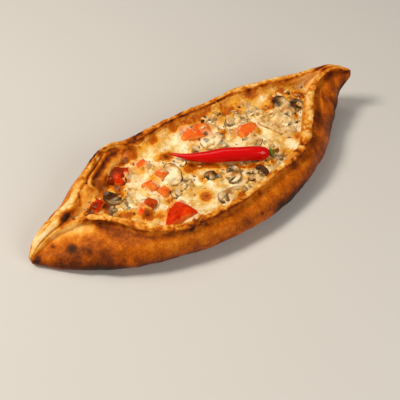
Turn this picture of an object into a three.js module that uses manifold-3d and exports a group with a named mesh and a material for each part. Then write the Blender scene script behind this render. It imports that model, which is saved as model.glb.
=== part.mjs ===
// Turkish pide: a boat of baked bread dough, 320 mm long. Its long edges are folded up into a rim and
// its ends are pinched shut. Mushroom slices, tomato pieces and one whole red chilli lie in the melted
// cheese that fills it.
// Millimetres. +X runs along the boat to its raised end, +Y to its far side, +Z up. The origin is on the
// flat underside, at the middle of the boat's length and width.

import * as THREE from "three";
import { mergeVertices } from "three/addons/utils/BufferGeometryUtils.js";
import Module from "manifold-3d";

const wasm = await Module();
wasm.setup();

// ---- Driving dimensions: dough boat ----

const HALF_LENGTH = 160; // tip to tip is 320
const BASE_THICKNESS = 7; // dough under the filling
const SEAM_GAP = 1.2; // width of the crease where the two rims meet, beyond the opening
const RIM_RISE = 6.5; // height of the thin rim above the shoulder of the wall
const CRUST_STATIONS = 54;
const POINTS_PER_SPAN = 2; // points between two neighbouring control points of a cross-section
const SOLE_SPANS = [0, 1, 20, 21]; // spans on the flat sole, which need only one point each

// The boat's offsets, station by station, as a boat builder lists them. The near side is -Y.
// The boat is shaped by hand, so its two sides, its two ends and its rim heights all differ. Towards the
// lower end the far edge was turned in once more and lies on the filling as a fold this wide.
const STATION_COLUMNS = [
  "x", "nearRimY", "farRimY", "nearRimZ", "farRimZ",
  "nearSideY", "farSideY", "keelZ", "nearRimWidth", "farRimWidth", "farFold",
];
const STATIONS = [
  [-160, 17, 18, 9, 10, 14, 20, 4, 1, 1, 0],
  [-153, 18.5, 21.5, 14, 15, 6, 25, 1.5, 4, 4, 0],
  [-137, 18, 25.5, 22, 24, -12, 35.5, 0, 6, 8, 0],
  [-126, 14, 26, 26, 28, -22, 40.5, 0, 6, 9, 0],
  [-114, 8.5, 29, 31, 30, -32, 46, 0, 6, 9, 7],
  [-100, -4, 38.5, 34, 32.5, -41, 53, 0, 6, 9, 13],
  [-84, -29, 49, 36, 34, -49, 59.5, 0, 7, 7, 13],
  [-60, -47, 60.5, 36, 35, -57, 65, 0, 6, 5, 11],
  [-42, -49, 55, 35, 35, -62, 65.6, 0, 6, 8, 2],
  [0, -50, 54, 34, 36, -66, 65.6, 0, 6, 7, 0],
  [36, -44, 51, 34, 36, -63, 62, 0, 6, 7, 0],
  [70, -37, 48, 35, 37, -52, 57, 0, 8, 7, 0],
  [95, -16, 40, 37, 38, -40, 50, 0, 9, 7, 0],
  [117, 5, 30, 39, 40, -24, 40, 2, 8, 7, 0],
  [138, 14, 23, 42, 42, -8, 29, 8, 5, 5, 0],
  [152, 11, 14, 44, 44, 2, 18, 18, 3, 3, 0],
  [160, 3, 4, 42, 42, 1, 6, 34, 1, 1, 0],
];

// Creases where the dough is pinched at the raised end: place along the boat, depth and width.
const PINCH_CREASES = [
  { x: 124, depth: 1.6, width: 2.6 },
  { x: 134, depth: 2.2, width: 2.4 },
  { x: 145, depth: 1.4, width: 2.2 },
];

// ---- Driving dimensions: filling ----

const GAP = 0.3; // clearance between touching pieces
const CHEESE_LEVEL = 24.5; // height of the cheese in the middle of the opening
const CHEESE_CLIMB = 7; // how far the cheese film climbs the far wall
const CHEESE_FREEBOARD = 4; // the rim stands at least this far above the cheese
const CHEESE_ENDS = [-117, 137];
const CHEESE_ROWS = 36;
const CHEESE_COLUMNS = 12;
const CHEESE_REACH = 1.04; // width of the cheese blank as a share of the opening between the rims

// Tomato pieces: the corners of each in plan, the height of its middle above the cheese, its thickness,
// and its tilt about X and Y in degrees.
const TOMATO_COLUMNS = ["corners", "lift", "height", "tiltX", "tiltY"];
const TOMATOES = {
  tomato_left: [[[-79, 33], [-65, 42], [-55, 33], [-68, 20]], 1.2, 10, 12, -6],
  tomato_corner: [[[-104, 18], [-95, 24], [-91, 15], [-100, 10]], 0.4, 8, 6, -6],
  tomato_near: [[[-45, -18], [-38, -37], [-70, -36], [-56, -22]], 1.8, 10, -4, 5],
  tomato_browned: [[[-78, -9], [-61, 0], [-56, -8], [-72, -18]], 0, 8, 6, 0],
  tomato_far: [[[4, 52], [30, 36], [23, 24], [-2, 33]], 0, 8, 8, 0],
  tomato_right: [[[39, 18], [62, 14], [57, 5], [41, 4]], 0.8, 8, 8, 2],
  tomato_bit_1: [[[-48, 35], [-40, 36], [-39, 28], [-47, 28]], 0.6, 7, 6, 0],
  tomato_bit_2: [[[-42, 18], [-34, 18], [-32, 10], [-40, 9]], 0.2, 7, 0, 6],
  tomato_bit_3: [[[-58, 14], [-47, 14], [-48, 3], [-56, 4]], 0.2, 7, 4, 0],
  tomato_bit_4: [[[-51, 2], [-43, 2], [-42, -7], [-50, -8]], 0.2, 7, 4, 4],
};

// Mushroom slices: the middle of each cap in plan, its height above the cheese, how it is turned about Z
// and tilted about X and Y in degrees, then the size of cap, dome, rolled hem and stem.
const MUSHROOM_COLUMNS = [
  "x", "y", "lift", "turn", "tiltX", "tiltY",
  "cap", "dome", "hem", "stem", "stemLength", "thickness", "bend",
];
const MUSHROOMS = {
  mushroom_standing: [91, 11, 2.6, -88, 10, 20, 27, 9, 4.5, 8, 9, 4, 1.8],
  mushroom_behind: [104, 9, 1.6, -74, 20, 0, 13, 5, 4, 5, 5, 3.4, 1],
  mushroom_long: [77, -12, 1, -158, -4, 4, 14, 7, 6, 10, 29, 4, 0.8],
  mushroom_middle: [17, 15, 0.9, 119, 3, 4, 24, 8, 6, 9, 17, 4, 1.4],
  mushroom_by_tomato: [46, -1, 0.9, -62, 6, 0, 18, 7.5, 5, 7, 7, 3.8, 1.2],
  mushroom_near: [-6, -39, 2, -12, 10, 2, 26, 6.5, 6, 8, 7, 4.2, 1.4],
  mushroom_round: [-31, 8, 1.3, -110, 4, 2, 25, 8, 6, 9, 8, 4, 1.4],
  mushroom_left: [-82, 16, 1.4, 100, 8, 4, 19, 7.5, 5, 7, 7, 4.2, 1.2],
  mushroom_pale: [51, 26, 0.6, -10, 6, 0, 21, 7, 4.5, 7, 6, 3.8, 1],
  mushroom_under_tip: [3, 19, 0.9, 30, 12, 0, 11, 4.5, 3, 4, 4, 3.4, 0.7],
  mushroom_gill_1: [-6, -13, 1, -30, 20, 8, 14, 5, 4, 5, 5, 3.6, 0.8],
  mushroom_gill_2: [8, -22, 1.2, -120, 10, -4, 20, 7, 5, 6, 7, 4, 1.2],
  mushroom_gill_3: [29, -34, 1.4, -96, 16, 0, 15, 4.5, 3.5, 5, 4, 3.6, 0.8],
  mushroom_gill_4: [-39, -11, 0.8, 20, 10, 6, 13, 5.5, 4, 5, 5, 3.6, 0.8],
  mushroom_corner: [-90, 4, 0.8, 60, 10, 0, 13, 4.5, 3.5, 5, 4, 3.6, 0.8],
  mushroom_far: [36, 40, 0.8, -20, 8, 0, 14, 5, 3.5, 5, 4, 3.6, 0.8],
};

// The chilli lies across the filling from its tip, near the far wall, to its stalk.
const CHILLI_RADIUS = 6.1;
const CHILLI_PATH = [
  [-20, 24.5, 30], [-11, 13.5, 30], [0, 4, 30.5], [12, -3, 31],
  [24, -11, 31.5], [35, -18.5, 31.5], [44, -24, 31],
];
const STALK_PATH = [[45.2, -24.6, 31.2], [47.4, -25.5, 31.5], [49.6, -26.2, 31.8], [52, -26.9, 32]];

// ---- Interpolation ----

// Smooth curve through the stations: one cubic on each interval, with the weighted mean of the two
// neighbouring chords as the slope at each station.
function stationCurve(column) {
  const k = STATION_COLUMNS.indexOf(column);
  const xs = STATIONS.map((row) => row[0]);
  const ys = STATIONS.map((row) => row[k]);
  const last = xs.length - 1;
  const step = xs.slice(1).map((x, i) => x - xs[i]);
  const chord = step.map((h, i) => (ys[i + 1] - ys[i]) / h);
  const slope = xs.map((_, i) => {
    if (i === 0) return chord[0];
    if (i === last) return chord[last - 1];
    return (chord[i - 1] * step[i] + chord[i] * step[i - 1]) / (step[i - 1] + step[i]);
  });
  return (x) => {
    let i = 0;
    while (i < last - 1 && x > xs[i + 1]) i++;
    const t = (x - xs[i]) / step[i];
    const blend = t * t * (3 - 2 * t);
    const pull = t * (1 - t) * step[i];
    return ys[i] + (ys[i + 1] - ys[i]) * blend + pull * ((1 - t) * slope[i] - t * slope[i + 1]);
  };
}

const along = Object.fromEntries(STATION_COLUMNS.slice(1).map((name) => [name, stationCurve(name)]));

function smoothStep(from, to, x) {
  const t = Math.min(1, Math.max(0, (x - from) / (to - from)));
  return t * t * (3 - 2 * t);
}

function slopeOf(curve, x) {
  return (curve(x + 1) - curve(x - 1)) / 2;
}

// ---- Surfaces ----

// Closed surface through equal loops of points, with a point at the middle of each end loop. The loops
// turn counter-clockwise about the direction in which they are stacked.
function skinLoops(loops) {
  const size = loops[0].length;
  const lastLoop = (loops.length - 1) * size;
  const middleOf = (loop) => [0, 1, 2].map((k) => loop.reduce((sum, p) => sum + p[k], 0) / size);
  const positions = [...loops.flat(2), ...middleOf(loops[0]), ...middleOf(loops[loops.length - 1])];
  const startPole = loops.length * size;
  const endPole = startPole + 1;
  const index = [];
  for (let i = 0; i + 1 < loops.length; i++) {
    for (let j = 0; j < size; j++) {
      const a = i * size + j;
      const b = i * size + ((j + 1) % size);
      index.push(a, b, a + size, b, b + size, a + size);
    }
  }
  for (let j = 0; j < size; j++) {
    const next = (j + 1) % size;
    index.push(startPole, next, j, endPole, lastLoop + j, lastLoop + next);
  }
  const geometry = new THREE.BufferGeometry();
  geometry.setAttribute("position", new THREE.BufferAttribute(new Float32Array(positions), 3));
  geometry.setIndex(index);
  return geometry;
}

// ---- Dough boat ----

// Where the rims stand at x: their inner faces, their outer faces and the clear opening between them.
// A rim that runs at a slant is cut wider by the cross-section.
function rimsAt(x) {
  const slant = (curve) => Math.min(2, Math.hypot(1, slopeOf(curve, x)));
  const nearWidth = along.nearRimWidth(x) * slant(along.nearRimY);
  const farWidth = along.farRimWidth(x) * slant(along.farRimY);
  const nearInner = along.nearRimY(x) + nearWidth / 2;
  const farInner = along.farRimY(x) - farWidth / 2;
  const opening = Math.max(farInner - nearInner, SEAM_GAP);
  const middle = (nearInner + farInner) / 2;
  return {
    opening,
    middle,
    near: { inner: middle - opening / 2, outer: middle - opening / 2 - nearWidth, width: nearWidth },
    far: { inner: middle + opening / 2, outer: middle + opening / 2 + farWidth, width: farWidth },
  };
}

function pinchAt(x) {
  return PINCH_CREASES.reduce((sum, c) => sum + c.depth * Math.exp(-(((x - c.x) / c.width) ** 2)), 0);
}

// Control points of one side, from the sole up the puffed wall, over the thin rim and down the inner
// wall to the floor. `inwards` is +1 on the near side and -1 on the far side.
function sideControls({ shared, rim, sideY, rimZ, inwards, floorDepth, crease, fold }) {
  const { centre, keel, middle, opening } = shared;
  const height = rimZ - keel;
  const rise = Math.min(RIM_RISE, 0.3 * height);
  const pinch = inwards * crease;
  const fromCentre = (share) => centre + share * (sideY - centre);
  return [
    [fromCentre(0.55), keel - 1],
    [fromCentre(0.86), keel + 0.1 * height],
    [sideY + 0.6 * pinch, keel + 0.38 * height],
    [sideY + 0.35 * (rim.outer - sideY) + pinch, keel + 0.68 * height],
    [rim.outer + inwards * 0.15 * rim.width + pinch, rimZ - rise],
    [rim.outer + inwards * 0.12 * rim.width, rimZ - 0.18 * rise],
    [rim.inner - inwards * 0.3 * rim.width, rimZ],
    [rim.inner, rimZ - 0.35 * rise],
    [rim.inner + inwards * (0.04 * opening + 0.85 * fold), rimZ - 0.55 * floorDepth + 0.45 * fold],
    [rim.inner + inwards * (0.16 * opening + fold), rimZ - 0.93 * floorDepth],
    [middle, rimZ - floorDepth],
  ];
}

// The closed loop of control points of the cross-section at x, as [y, z].
function crustControls(x) {
  const { opening, middle, near, far } = rimsAt(x);
  const keel = along.keelZ(x);
  const nearSide = along.nearSideY(x);
  const farSide = along.farSideY(x);
  const nearZ = along.nearRimZ(x);
  const farZ = along.farRimZ(x);
  const floorDepth = Math.min(nearZ - BASE_THICKNESS - keel, 2 + 1.1 * opening);
  const shared = { centre: (nearSide + farSide) / 2, keel, middle, opening };
  const nearControls = sideControls({
    shared, rim: near, sideY: nearSide, rimZ: nearZ, inwards: 1, floorDepth, crease: pinchAt(x), fold: 0,
  });
  const farFloorDepth = floorDepth + farZ - nearZ;
  const farControls = sideControls({
    shared, rim: far, sideY: farSide, rimZ: farZ, inwards: -1, floorDepth: farFloorDepth, crease: 0,
    fold: Math.max(0, Math.min(along.farFold(x), 0.4 * opening)),
  });
  return [[shared.centre, keel - 1], ...farControls, ...nearControls.slice(0, -1).reverse()];
}

// Catmull-Rom curve through a closed loop of control points, laid flat where it would dip below ground.
function closedCurve(controls) {
  const count = controls.length;
  const points = [];
  for (let i = 0; i < count; i++) {
    const perSpan = SOLE_SPANS.includes(i) ? 1 : POINTS_PER_SPAN;
    const [a, b, c, d] = [-1, 0, 1, 2].map((k) => controls[(i + k + count) % count]);
    for (let j = 0; j < perSpan; j++) {
      const t = j / perSpan;
      const [y, z] = [0, 1].map((k) => {
        const square = 2 * a[k] - 5 * b[k] + 4 * c[k] - d[k];
        const cube = 3 * b[k] - a[k] - 3 * c[k] + d[k];
        return 0.5 * (2 * b[k] + (c[k] - a[k]) * t + square * t * t + cube * t * t * t);
      });
      points.push([y, Math.max(z, 0)]);
    }
  }
  return points;
}

// Stations crowd towards the two tips, where the shape changes fastest.
function stationX(i) {
  const share = i / (CRUST_STATIONS - 1);
  return -HALF_LENGTH * (0.35 * Math.cos(Math.PI * share) + 0.65 * (1 - 2 * share));
}

function crustGeometry() {
  const loops = Array.from({ length: CRUST_STATIONS }, (_, i) => {
    const x = stationX(i);
    return closedCurve(crustControls(x)).map(([y, z]) => [x, y, z]);
  });
  return skinLoops(loops);
}

// ---- Booleans ----

// Position-only copy of a geometry with its shared vertices merged.
function merged(geometry) {
  const copy = geometry.clone();
  copy.deleteAttribute("normal");
  copy.deleteAttribute("uv");
  return mergeVertices(copy, 1e-3);
}

function solidOf(geometry) {
  const { attributes, index } = merged(geometry);
  const vertProperties = attributes.position.array;
  const triVerts = new Uint32Array(index.array);
  return new wasm.Manifold(new wasm.Mesh({ numProp: 3, vertProperties, triVerts }));
}

// The solid grown by a distance along its own normals, for cutting a pocket with clearance.
function grown(geometry, distance) {
  const copy = merged(geometry);
  copy.computeVertexNormals();
  const { position, normal } = copy.attributes;
  const point = new THREE.Vector3();
  const direction = new THREE.Vector3();
  for (let i = 0; i < position.count; i++) {
    point.fromBufferAttribute(position, i);
    direction.fromBufferAttribute(normal, i);
    point.addScaledVector(direction, distance);
    position.setXYZ(i, point.x, point.y, point.z);
  }
  return solidOf(copy);
}

function largestBody(solid) {
  return solid.decompose().reduce((best, body) => (body.volume() > best.volume() ? body : best));
}

function geometryOf(solid) {
  const mesh = solid.getMesh();
  const geometry = new THREE.BufferGeometry();
  geometry.setAttribute("position", new THREE.BufferAttribute(new Float32Array(mesh.vertProperties), 3));
  geometry.setIndex(new THREE.BufferAttribute(new Uint32Array(mesh.triVerts), 1));
  return geometry;
}

// ---- Melted cheese ----

// Height of the cheese: level in the middle, climbing the walls but not the fold at the lower end, with
// low swells where it bubbled.
function cheeseHeight(x, y) {
  const { middle, opening } = rimsAt(x);
  const across = Math.max(-1, Math.min(1, (2 * (y - middle)) / opening));
  const climb = (across > 0 ? smoothStep(-68, -44, x) : 0.35) * CHEESE_CLIMB * across ** 6;
  const longSwell = 0.7 * Math.sin(x / 9 + y / 14) * Math.cos(y / 8 - x / 23);
  const shortSwell = 0.5 * Math.sin(x / 4.7 - y / 6.1);
  const endRise = 3 * smoothStep(85, 130, x);
  const rimZ = across > 0 ? along.farRimZ(x) : along.nearRimZ(x);
  return Math.min(CHEESE_LEVEL + climb + longSwell + shortSwell + endRise, rimZ - CHEESE_FREEBOARD);
}

// A block whose top is the cheese's surface and whose sides and bottom lie inside the dough.
function cheeseBlank() {
  const [from, to] = CHEESE_ENDS;
  const loops = Array.from({ length: CHEESE_ROWS }, (_, i) => {
    const x = from + ((to - from) * i) / (CHEESE_ROWS - 1);
    const { middle, opening } = rimsAt(x);
    const half = (opening / 2) * CHEESE_REACH + 0.6;
    const bottom = BASE_THICKNESS + along.keelZ(x) - 4;
    const top = Array.from({ length: CHEESE_COLUMNS + 1 }, (_, j) => {
      const y = middle + half * (1 - (2 * j) / CHEESE_COLUMNS);
      return [x, y, cheeseHeight(x, y)];
    });
    return [[x, middle - half, bottom], [x, middle + half, bottom], ...top];
  });
  return skinLoops(loops);
}

// ---- Toppings ----

function middleOf(corners) {
  return [0, 1].map((k) => corners.reduce((sum, corner) => sum + corner[k], 0) / corners.length);
}

// Outline of a convex polygon with softened corners, as distance from its middle at each angle: every
// side is a half-plane, and a high-power mean of them all stands in for their intersection.
function polygonOutline(corners) {
  const sharpness = 10;
  const middle = middleOf(corners);
  const sides = corners.map((corner, i) => {
    const next = corners[(i + 1) % corners.length];
    const length = Math.hypot(next[0] - corner[0], next[1] - corner[1]);
    const normal = [(next[1] - corner[1]) / length, (corner[0] - next[0]) / length];
    const reach = (corner[0] - middle[0]) * normal[0] + (corner[1] - middle[1]) * normal[1];
    return normal.map((n) => n / reach);
  });
  return (angle) => {
    const shares = sides.map(([a, b]) => Math.max(0, a * Math.cos(angle) + b * Math.sin(angle)));
    return shares.reduce((sum, share) => sum + share ** sharpness, 0) ** (-1 / sharpness);
  };
}

// Outline of a slice through a mushroom, about the middle of its cap: the dome is half an ellipse, the
// rolled hem a flatter one, and the stem runs down from between the two hollows of the gills.
function mushroomOutline({ cap, dome, hem, stem, stemLength }) {
  return (angle) => {
    const [ux, uy] = [Math.cos(angle), Math.sin(angle)];
    const [depth, power] = uy > 0 ? [dome, 2.3] : [hem, 3.2];
    const capReach = (Math.abs((2 * ux) / cap) ** power + Math.abs(uy / depth) ** power) ** (-1 / power);
    if (uy >= 0) return capReach;
    const hollow = 1 - 0.28 * Math.exp(-(((Math.abs(ux) - 0.55) / 0.16) ** 2));
    const sideReach = stem / 2 / Math.max(Math.abs(ux), 1e-6);
    const stemReach = (sideReach ** -5 + (stemLength / -uy) ** -5) ** (-1 / 5);
    return ((capReach * hollow) ** 6 + stemReach ** 6) ** (1 / 6);
  };
}

// A slab with the given outline, centred on its mid-plane. Each ring is [share of the outline, level].
const CHAMFERED = [[0.8, -0.5], [1, -0.2], [1, 0.2], [0.8, 0.5]];
const WEDGE_EDGED = [[0.84, -0.5], [1, 0], [0.84, 0.5]];

function slab(outline, thickness, sides, rings) {
  const loops = rings.map(([share, level]) =>
    Array.from({ length: sides }, (_, j) => {
      const angle = (2 * Math.PI * j) / sides;
      const reach = outline(angle) * share;
      return [reach * Math.cos(angle), reach * Math.sin(angle), level * thickness];
    }),
  );
  return skinLoops(loops);
}

// Moves every vertex up by the height that a function of its place returns.
function raised(geometry, rise) {
  const { position } = geometry.attributes;
  for (let i = 0; i < position.count; i++) {
    position.setZ(i, position.getZ(i) + rise(position.getX(i), position.getY(i)));
  }
  return geometry;
}

// A topping lies on the cheese: turned about Z, tilted about X and Y, and lifted to show above it.
function lay(name, geometry, material, { x, y, lift, turn = 0, tiltX, tiltY }) {
  const mesh = new THREE.Mesh(geometry, material);
  mesh.name = name;
  mesh.rotation.set(...[tiltX, tiltY, turn].map(THREE.MathUtils.degToRad), "ZYX");
  mesh.position.set(x, y, cheeseHeight(x, y) + lift);
  mesh.updateMatrixWorld(true);
  return mesh;
}

// A piece of diced tomato, cut through its wall: the skin side, on top, is crowned.
function tomato(name, row) {
  const piece = Object.fromEntries(TOMATO_COLUMNS.map((column, k) => [column, row[k]]));
  const { corners, lift, height, tiltX, tiltY } = piece;
  const [x, y] = middleOf(corners);
  const crown = (u, v) => 0.07 * height * (1 - (u * u + v * v) / 60);
  const geometry = raised(slab(polygonOutline(corners), height, 14, CHAMFERED), crown);
  return lay(name, geometry, TOMATO, { x, y, lift, tiltX, tiltY });
}

// A slice of mushroom, bent a little as it cooked.
function mushroom(name, row) {
  const piece = Object.fromEntries(MUSHROOM_COLUMNS.map((column, k) => [column, row[k]]));
  const half = piece.cap / 2;
  const curl = (u, v) => piece.bend * ((u / half) ** 2 - 0.4 + (0.3 * v) / half);
  const geometry = raised(slab(mushroomOutline(piece), piece.thickness, 18, WEDGE_EDGED), curl);
  return lay(name, geometry, MUSHROOM, piece);
}

// A round bar of changing radius along a path. `radiusAt` takes the share of the path's length.
function taperedBar(name, path, radiusAt, rings, sides, material) {
  const curve = new THREE.CatmullRomCurve3(path.map((point) => new THREE.Vector3(...point)));
  const { normals, binormals } = curve.computeFrenetFrames(rings - 1, false);
  const loops = Array.from({ length: rings }, (_, i) => {
    const share = i / (rings - 1);
    const centre = curve.getPointAt(share);
    const radius = radiusAt(share);
    return Array.from({ length: sides }, (_, j) => {
      const angle = (2 * Math.PI * j) / sides;
      return centre
        .clone()
        .addScaledVector(normals[i], radius * Math.cos(angle))
        .addScaledVector(binormals[i], radius * Math.sin(angle))
        .toArray();
    });
  });
  const mesh = new THREE.Mesh(skinLoops(loops), material);
  mesh.name = name;
  return mesh;
}

// The pod swells quickly from its pointed tip and closes over a rounded shoulder at the stalk.
function chilliRadius(share) {
  const swell = 0.16 + 0.94 * Math.sin((Math.min(1, share / 0.72) * Math.PI) / 2) ** 1.15;
  const shoulder = Math.sqrt(Math.max(0.02, 1 - 0.75 * Math.max(0, (share - 0.9) / 0.1) ** 2));
  return CHILLI_RADIUS * Math.min(1, swell) * shoulder;
}

// The calyx hugs the shoulder as a flared collar and runs out into the thin stalk.
function stalkRadius(share) {
  return 1.5 + 2.2 * Math.exp(-((share / 0.3) ** 2)) + 0.3 * smoothStep(0.85, 1, share);
}

// ---- Materials ----

const finish = (color, roughness) => new THREE.MeshStandardMaterial({ color, roughness, metalness: 0 });
const DOUGH = finish(0xc77a31, 0.55);
const CHEESE = finish(0xeddcae, 0.4);
const TOMATO = finish(0xd23a17, 0.3);
const MUSHROOM = finish(0xb9986a, 0.55);
const CHILLI_RED = finish(0xc40d0f, 0.2);
const CHILLI_GREEN = finish(0x6f8f2a, 0.45);

// ---- Assembly ----

const pide = new THREE.Group();
pide.name = "turkish_pide";

const crust = new THREE.Mesh(crustGeometry(), DOUGH);
crust.name = "dough_boat";
pide.add(crust);

const toppings = [
  taperedBar("chilli_pod", CHILLI_PATH, chilliRadius, 22, 12, CHILLI_RED),
  taperedBar("chilli_stalk", STALK_PATH, stalkRadius, 9, 8, CHILLI_GREEN),
  ...Object.entries(TOMATOES).map(([name, row]) => tomato(name, row)),
  ...Object.entries(MUSHROOMS).map(([name, row]) => mushroom(name, row)),
];

// Each topping gives way to the dough and to the toppings before it, and the cheese gives way to all.
const doughWithGap = grown(crust.geometry, GAP);
let taken = doughWithGap;
let cheeseSolid = solidOf(cheeseBlank()).subtract(doughWithGap);
for (const mesh of toppings) {
  const whole = mesh.geometry.clone().applyMatrix4(mesh.matrixWorld);
  const pocket = grown(whole, GAP);
  const visible = largestBody(solidOf(whole).subtract(taken).simplify(0.02));
  mesh.geometry = geometryOf(visible).applyMatrix4(mesh.matrixWorld.clone().invert());
  taken = taken.add(pocket);
  cheeseSolid = cheeseSolid.subtract(pocket);
  pide.add(mesh);
}

const cheese = new THREE.Mesh(geometryOf(largestBody(cheeseSolid.simplify(0.1))), CHEESE);
cheese.name = "melted_cheese";
pide.add(cheese);

export default pide;
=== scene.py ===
import bpy
import numpy as np
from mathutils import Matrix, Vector


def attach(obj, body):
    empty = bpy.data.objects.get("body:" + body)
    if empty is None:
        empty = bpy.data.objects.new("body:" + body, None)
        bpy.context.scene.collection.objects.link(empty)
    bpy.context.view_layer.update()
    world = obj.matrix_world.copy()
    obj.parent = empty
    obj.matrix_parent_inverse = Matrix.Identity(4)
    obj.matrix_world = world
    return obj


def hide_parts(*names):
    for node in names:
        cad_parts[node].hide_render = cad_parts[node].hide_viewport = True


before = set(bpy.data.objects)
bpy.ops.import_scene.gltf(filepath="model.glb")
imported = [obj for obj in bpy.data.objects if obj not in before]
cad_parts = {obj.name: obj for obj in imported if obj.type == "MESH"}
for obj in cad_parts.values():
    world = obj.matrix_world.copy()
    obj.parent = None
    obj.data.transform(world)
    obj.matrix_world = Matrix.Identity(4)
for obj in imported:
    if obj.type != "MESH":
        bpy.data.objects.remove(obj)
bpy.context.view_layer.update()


# ---- Camera ----
# A long lens looks down on the boat from its near side, a little past its lower end.
EYE = Vector((-0.3043, -0.3855, 0.5377))
LOOK_BACK = Vector((-0.4070, -0.5311, 0.7431))

camera_data = bpy.data.cameras.new("camera")
camera_data.sensor_width = 36.0
camera_data.lens = 77.92
camera_data.shift_x = 0.0006
camera_data.shift_y = -0.0220
camera = bpy.data.objects.new("camera", camera_data)
camera.location = EYE
camera.rotation_euler = LOOK_BACK.to_track_quat("Z", "Y").to_euler()
bpy.context.scene.collection.objects.link(camera)
bpy.context.scene.camera = camera


# ---- Studio ----
# A pale table top and three soft lights: a key from the left, a fill from the near right, and an overhead
# one.
def linear(hex_colour):
    """Linear RGBA of an sRGB hex colour: c / 12.92 below 0.04045, else ((c + 0.055) / 1.055) ** 2.4."""
    srgb = np.array([int(hex_colour[i : i + 2], 16) for i in (1, 3, 5)]) / 255
    rgb = np.where(srgb <= 0.04045, srgb / 12.92, ((srgb + 0.055) / 1.055) ** 2.4)
    return (*rgb.tolist(), 1.0)


def add_node(tree, kind, inputs=None, stops=None, **settings):
    """One shader node with settings, stops and inputs; a linked node gives Fac or its first live output."""
    node = tree.nodes.new("ShaderNode" + kind)
    for name, value in settings.items():
        setattr(node, name, value)
    for name, value in (inputs or {}).items():
        if isinstance(value, bpy.types.Node):
            value = value.outputs.get("Fac") or next(socket for socket in value.outputs if socket.enabled)
        if isinstance(value, bpy.types.NodeSocket):
            tree.links.new(value, node.inputs[name])
        else:
            node.inputs[name].default_value = value
    if stops:
        elements = node.color_ramp.elements
        elements[0].position, elements[1].position = stops[0][0], stops[-1][0]
        elements[0].color, elements[1].color = linear(stops[0][1]), linear(stops[-1][1])
        for place, colour in stops[1:-1]:
            elements.new(place).color = linear(colour)
    return node


def new_material(name):
    """An empty node material and its tree."""
    material = bpy.data.materials.new(name)
    material.use_nodes = True
    material.node_tree.nodes.clear()
    return material, material.node_tree


table_mesh = bpy.data.meshes.new("table_top")
table_mesh.from_pydata([(-3, -3, 0), (3, -3, 0), (3, 3, 0), (-3, 3, 0)], [], [(0, 1, 2, 3)])
table = bpy.data.objects.new("table_top", table_mesh)
bpy.context.scene.collection.objects.link(table)

# Matt pale laminate.
table_material, tree = new_material("pale_laminate")
shader = add_node(tree, "BsdfPrincipled", {"Base Color": linear("#cfcac2"), "Roughness": 0.7})
add_node(tree, "OutputMaterial", {"Surface": shader})
table_mesh.materials.append(table_material)

for name, place, size, energy, tint in [
    ("key", (-0.62, 0.42, 1.05), 0.35, 13.0, (1.0, 0.95, 0.88)),
    ("fill", (0.1, -1.0, 0.62), 0.7, 6.5, (1.0, 0.97, 0.93)),
    ("overhead", (0.1, 0.5, 1.2), 0.6, 2.5, (1.0, 0.97, 0.92)),
]:
    light = bpy.data.lights.new(name, "AREA")
    light.size = size
    light.energy = energy
    light.color = tint
    lamp = bpy.data.objects.new(name, light)
    lamp.location = place
    lamp.rotation_euler = Vector(place).to_track_quat("Z", "Y").to_euler()
    bpy.context.scene.collection.objects.link(lamp)

world = bpy.data.worlds.new("studio")
world.use_nodes = True
world.node_tree.nodes["Background"].inputs["Color"].default_value = (1.0, 0.97, 0.93, 1.0)
world.node_tree.nodes["Background"].inputs["Strength"].default_value = 0.14
bpy.context.scene.world = world
# Colours reach the picture just as they are lit, with no film curve over them.
bpy.context.scene.view_settings.view_transform = "Standard"


# ---- Dough boat ----
# Yeasted wheat dough, rolled to an oval, its long edges folded over into a rim and its ends pinched shut,
# then baked hot and brushed with butter.
MM = 0.001
HALF_LENGTH = 160.0
BASE_THICKNESS = 7.0
SEAM_GAP = 1.2  # the least opening between the rims, where the ends are pinched shut
RIM_RISE = 6.5  # from the shoulder of the rim to its crest
# The offsets station by station, as a boat builder lists them: place along the boat, rim middles, rim
# heights, widest points of the sides, keel height, rim widths, and the width of the fold turned in along the
# far rim.
STATION_COLUMNS = [
    "x", "near_rim_y", "far_rim_y", "near_rim_z", "far_rim_z",
    "near_side_y", "far_side_y", "keel_z", "near_rim_width", "far_rim_width", "far_fold",
]
STATIONS = np.array([
    (-160, 17, 18, 9, 10, 14, 20, 4, 1, 1, 0),
    (-153, 18.5, 21.5, 14, 15, 6, 25, 1.5, 4, 4, 0),
    (-137, 18, 25.5, 22, 24, -12, 35.5, 0, 6, 8, 0),
    (-126, 14, 26, 26, 28, -22, 40.5, 0, 6, 9, 0),
    (-114, 8.5, 29, 31, 30, -32, 46, 0, 6, 9, 7),
    (-100, -4, 38.5, 34, 32.5, -41, 53, 0, 6, 9, 13),
    (-84, -29, 49, 36, 34, -49, 59.5, 0, 7, 7, 13),
    (-60, -47, 60.5, 36, 35, -57, 65, 0, 6, 5, 11),
    (-42, -49, 55, 35, 35, -62, 65.6, 0, 6, 8, 2),
    (0, -50, 54, 34, 36, -66, 65.6, 0, 6, 7, 0),
    (36, -44, 51, 34, 36, -63, 62, 0, 6, 7, 0),
    (70, -37, 48, 35, 37, -52, 57, 0, 8, 7, 0),
    (95, -16, 40, 37, 38, -40, 50, 0, 9, 7, 0),
    (117, 5, 30, 39, 40, -24, 40, 2, 8, 7, 0),
    (138, 14, 23, 42, 42, -8, 29, 8, 5, 5, 0),
    (152, 11, 14, 44, 44, 2, 18, 18, 3, 3, 0),
    (160, 3, 4, 42, 42, 1, 6, 34, 1, 1, 0),
], dtype=float)
PINCH_CREASES = [(124, 1.6, 2.6), (134, 2.2, 2.4), (145, 1.4, 2.2)]  # place along the boat, depth, width


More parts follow.
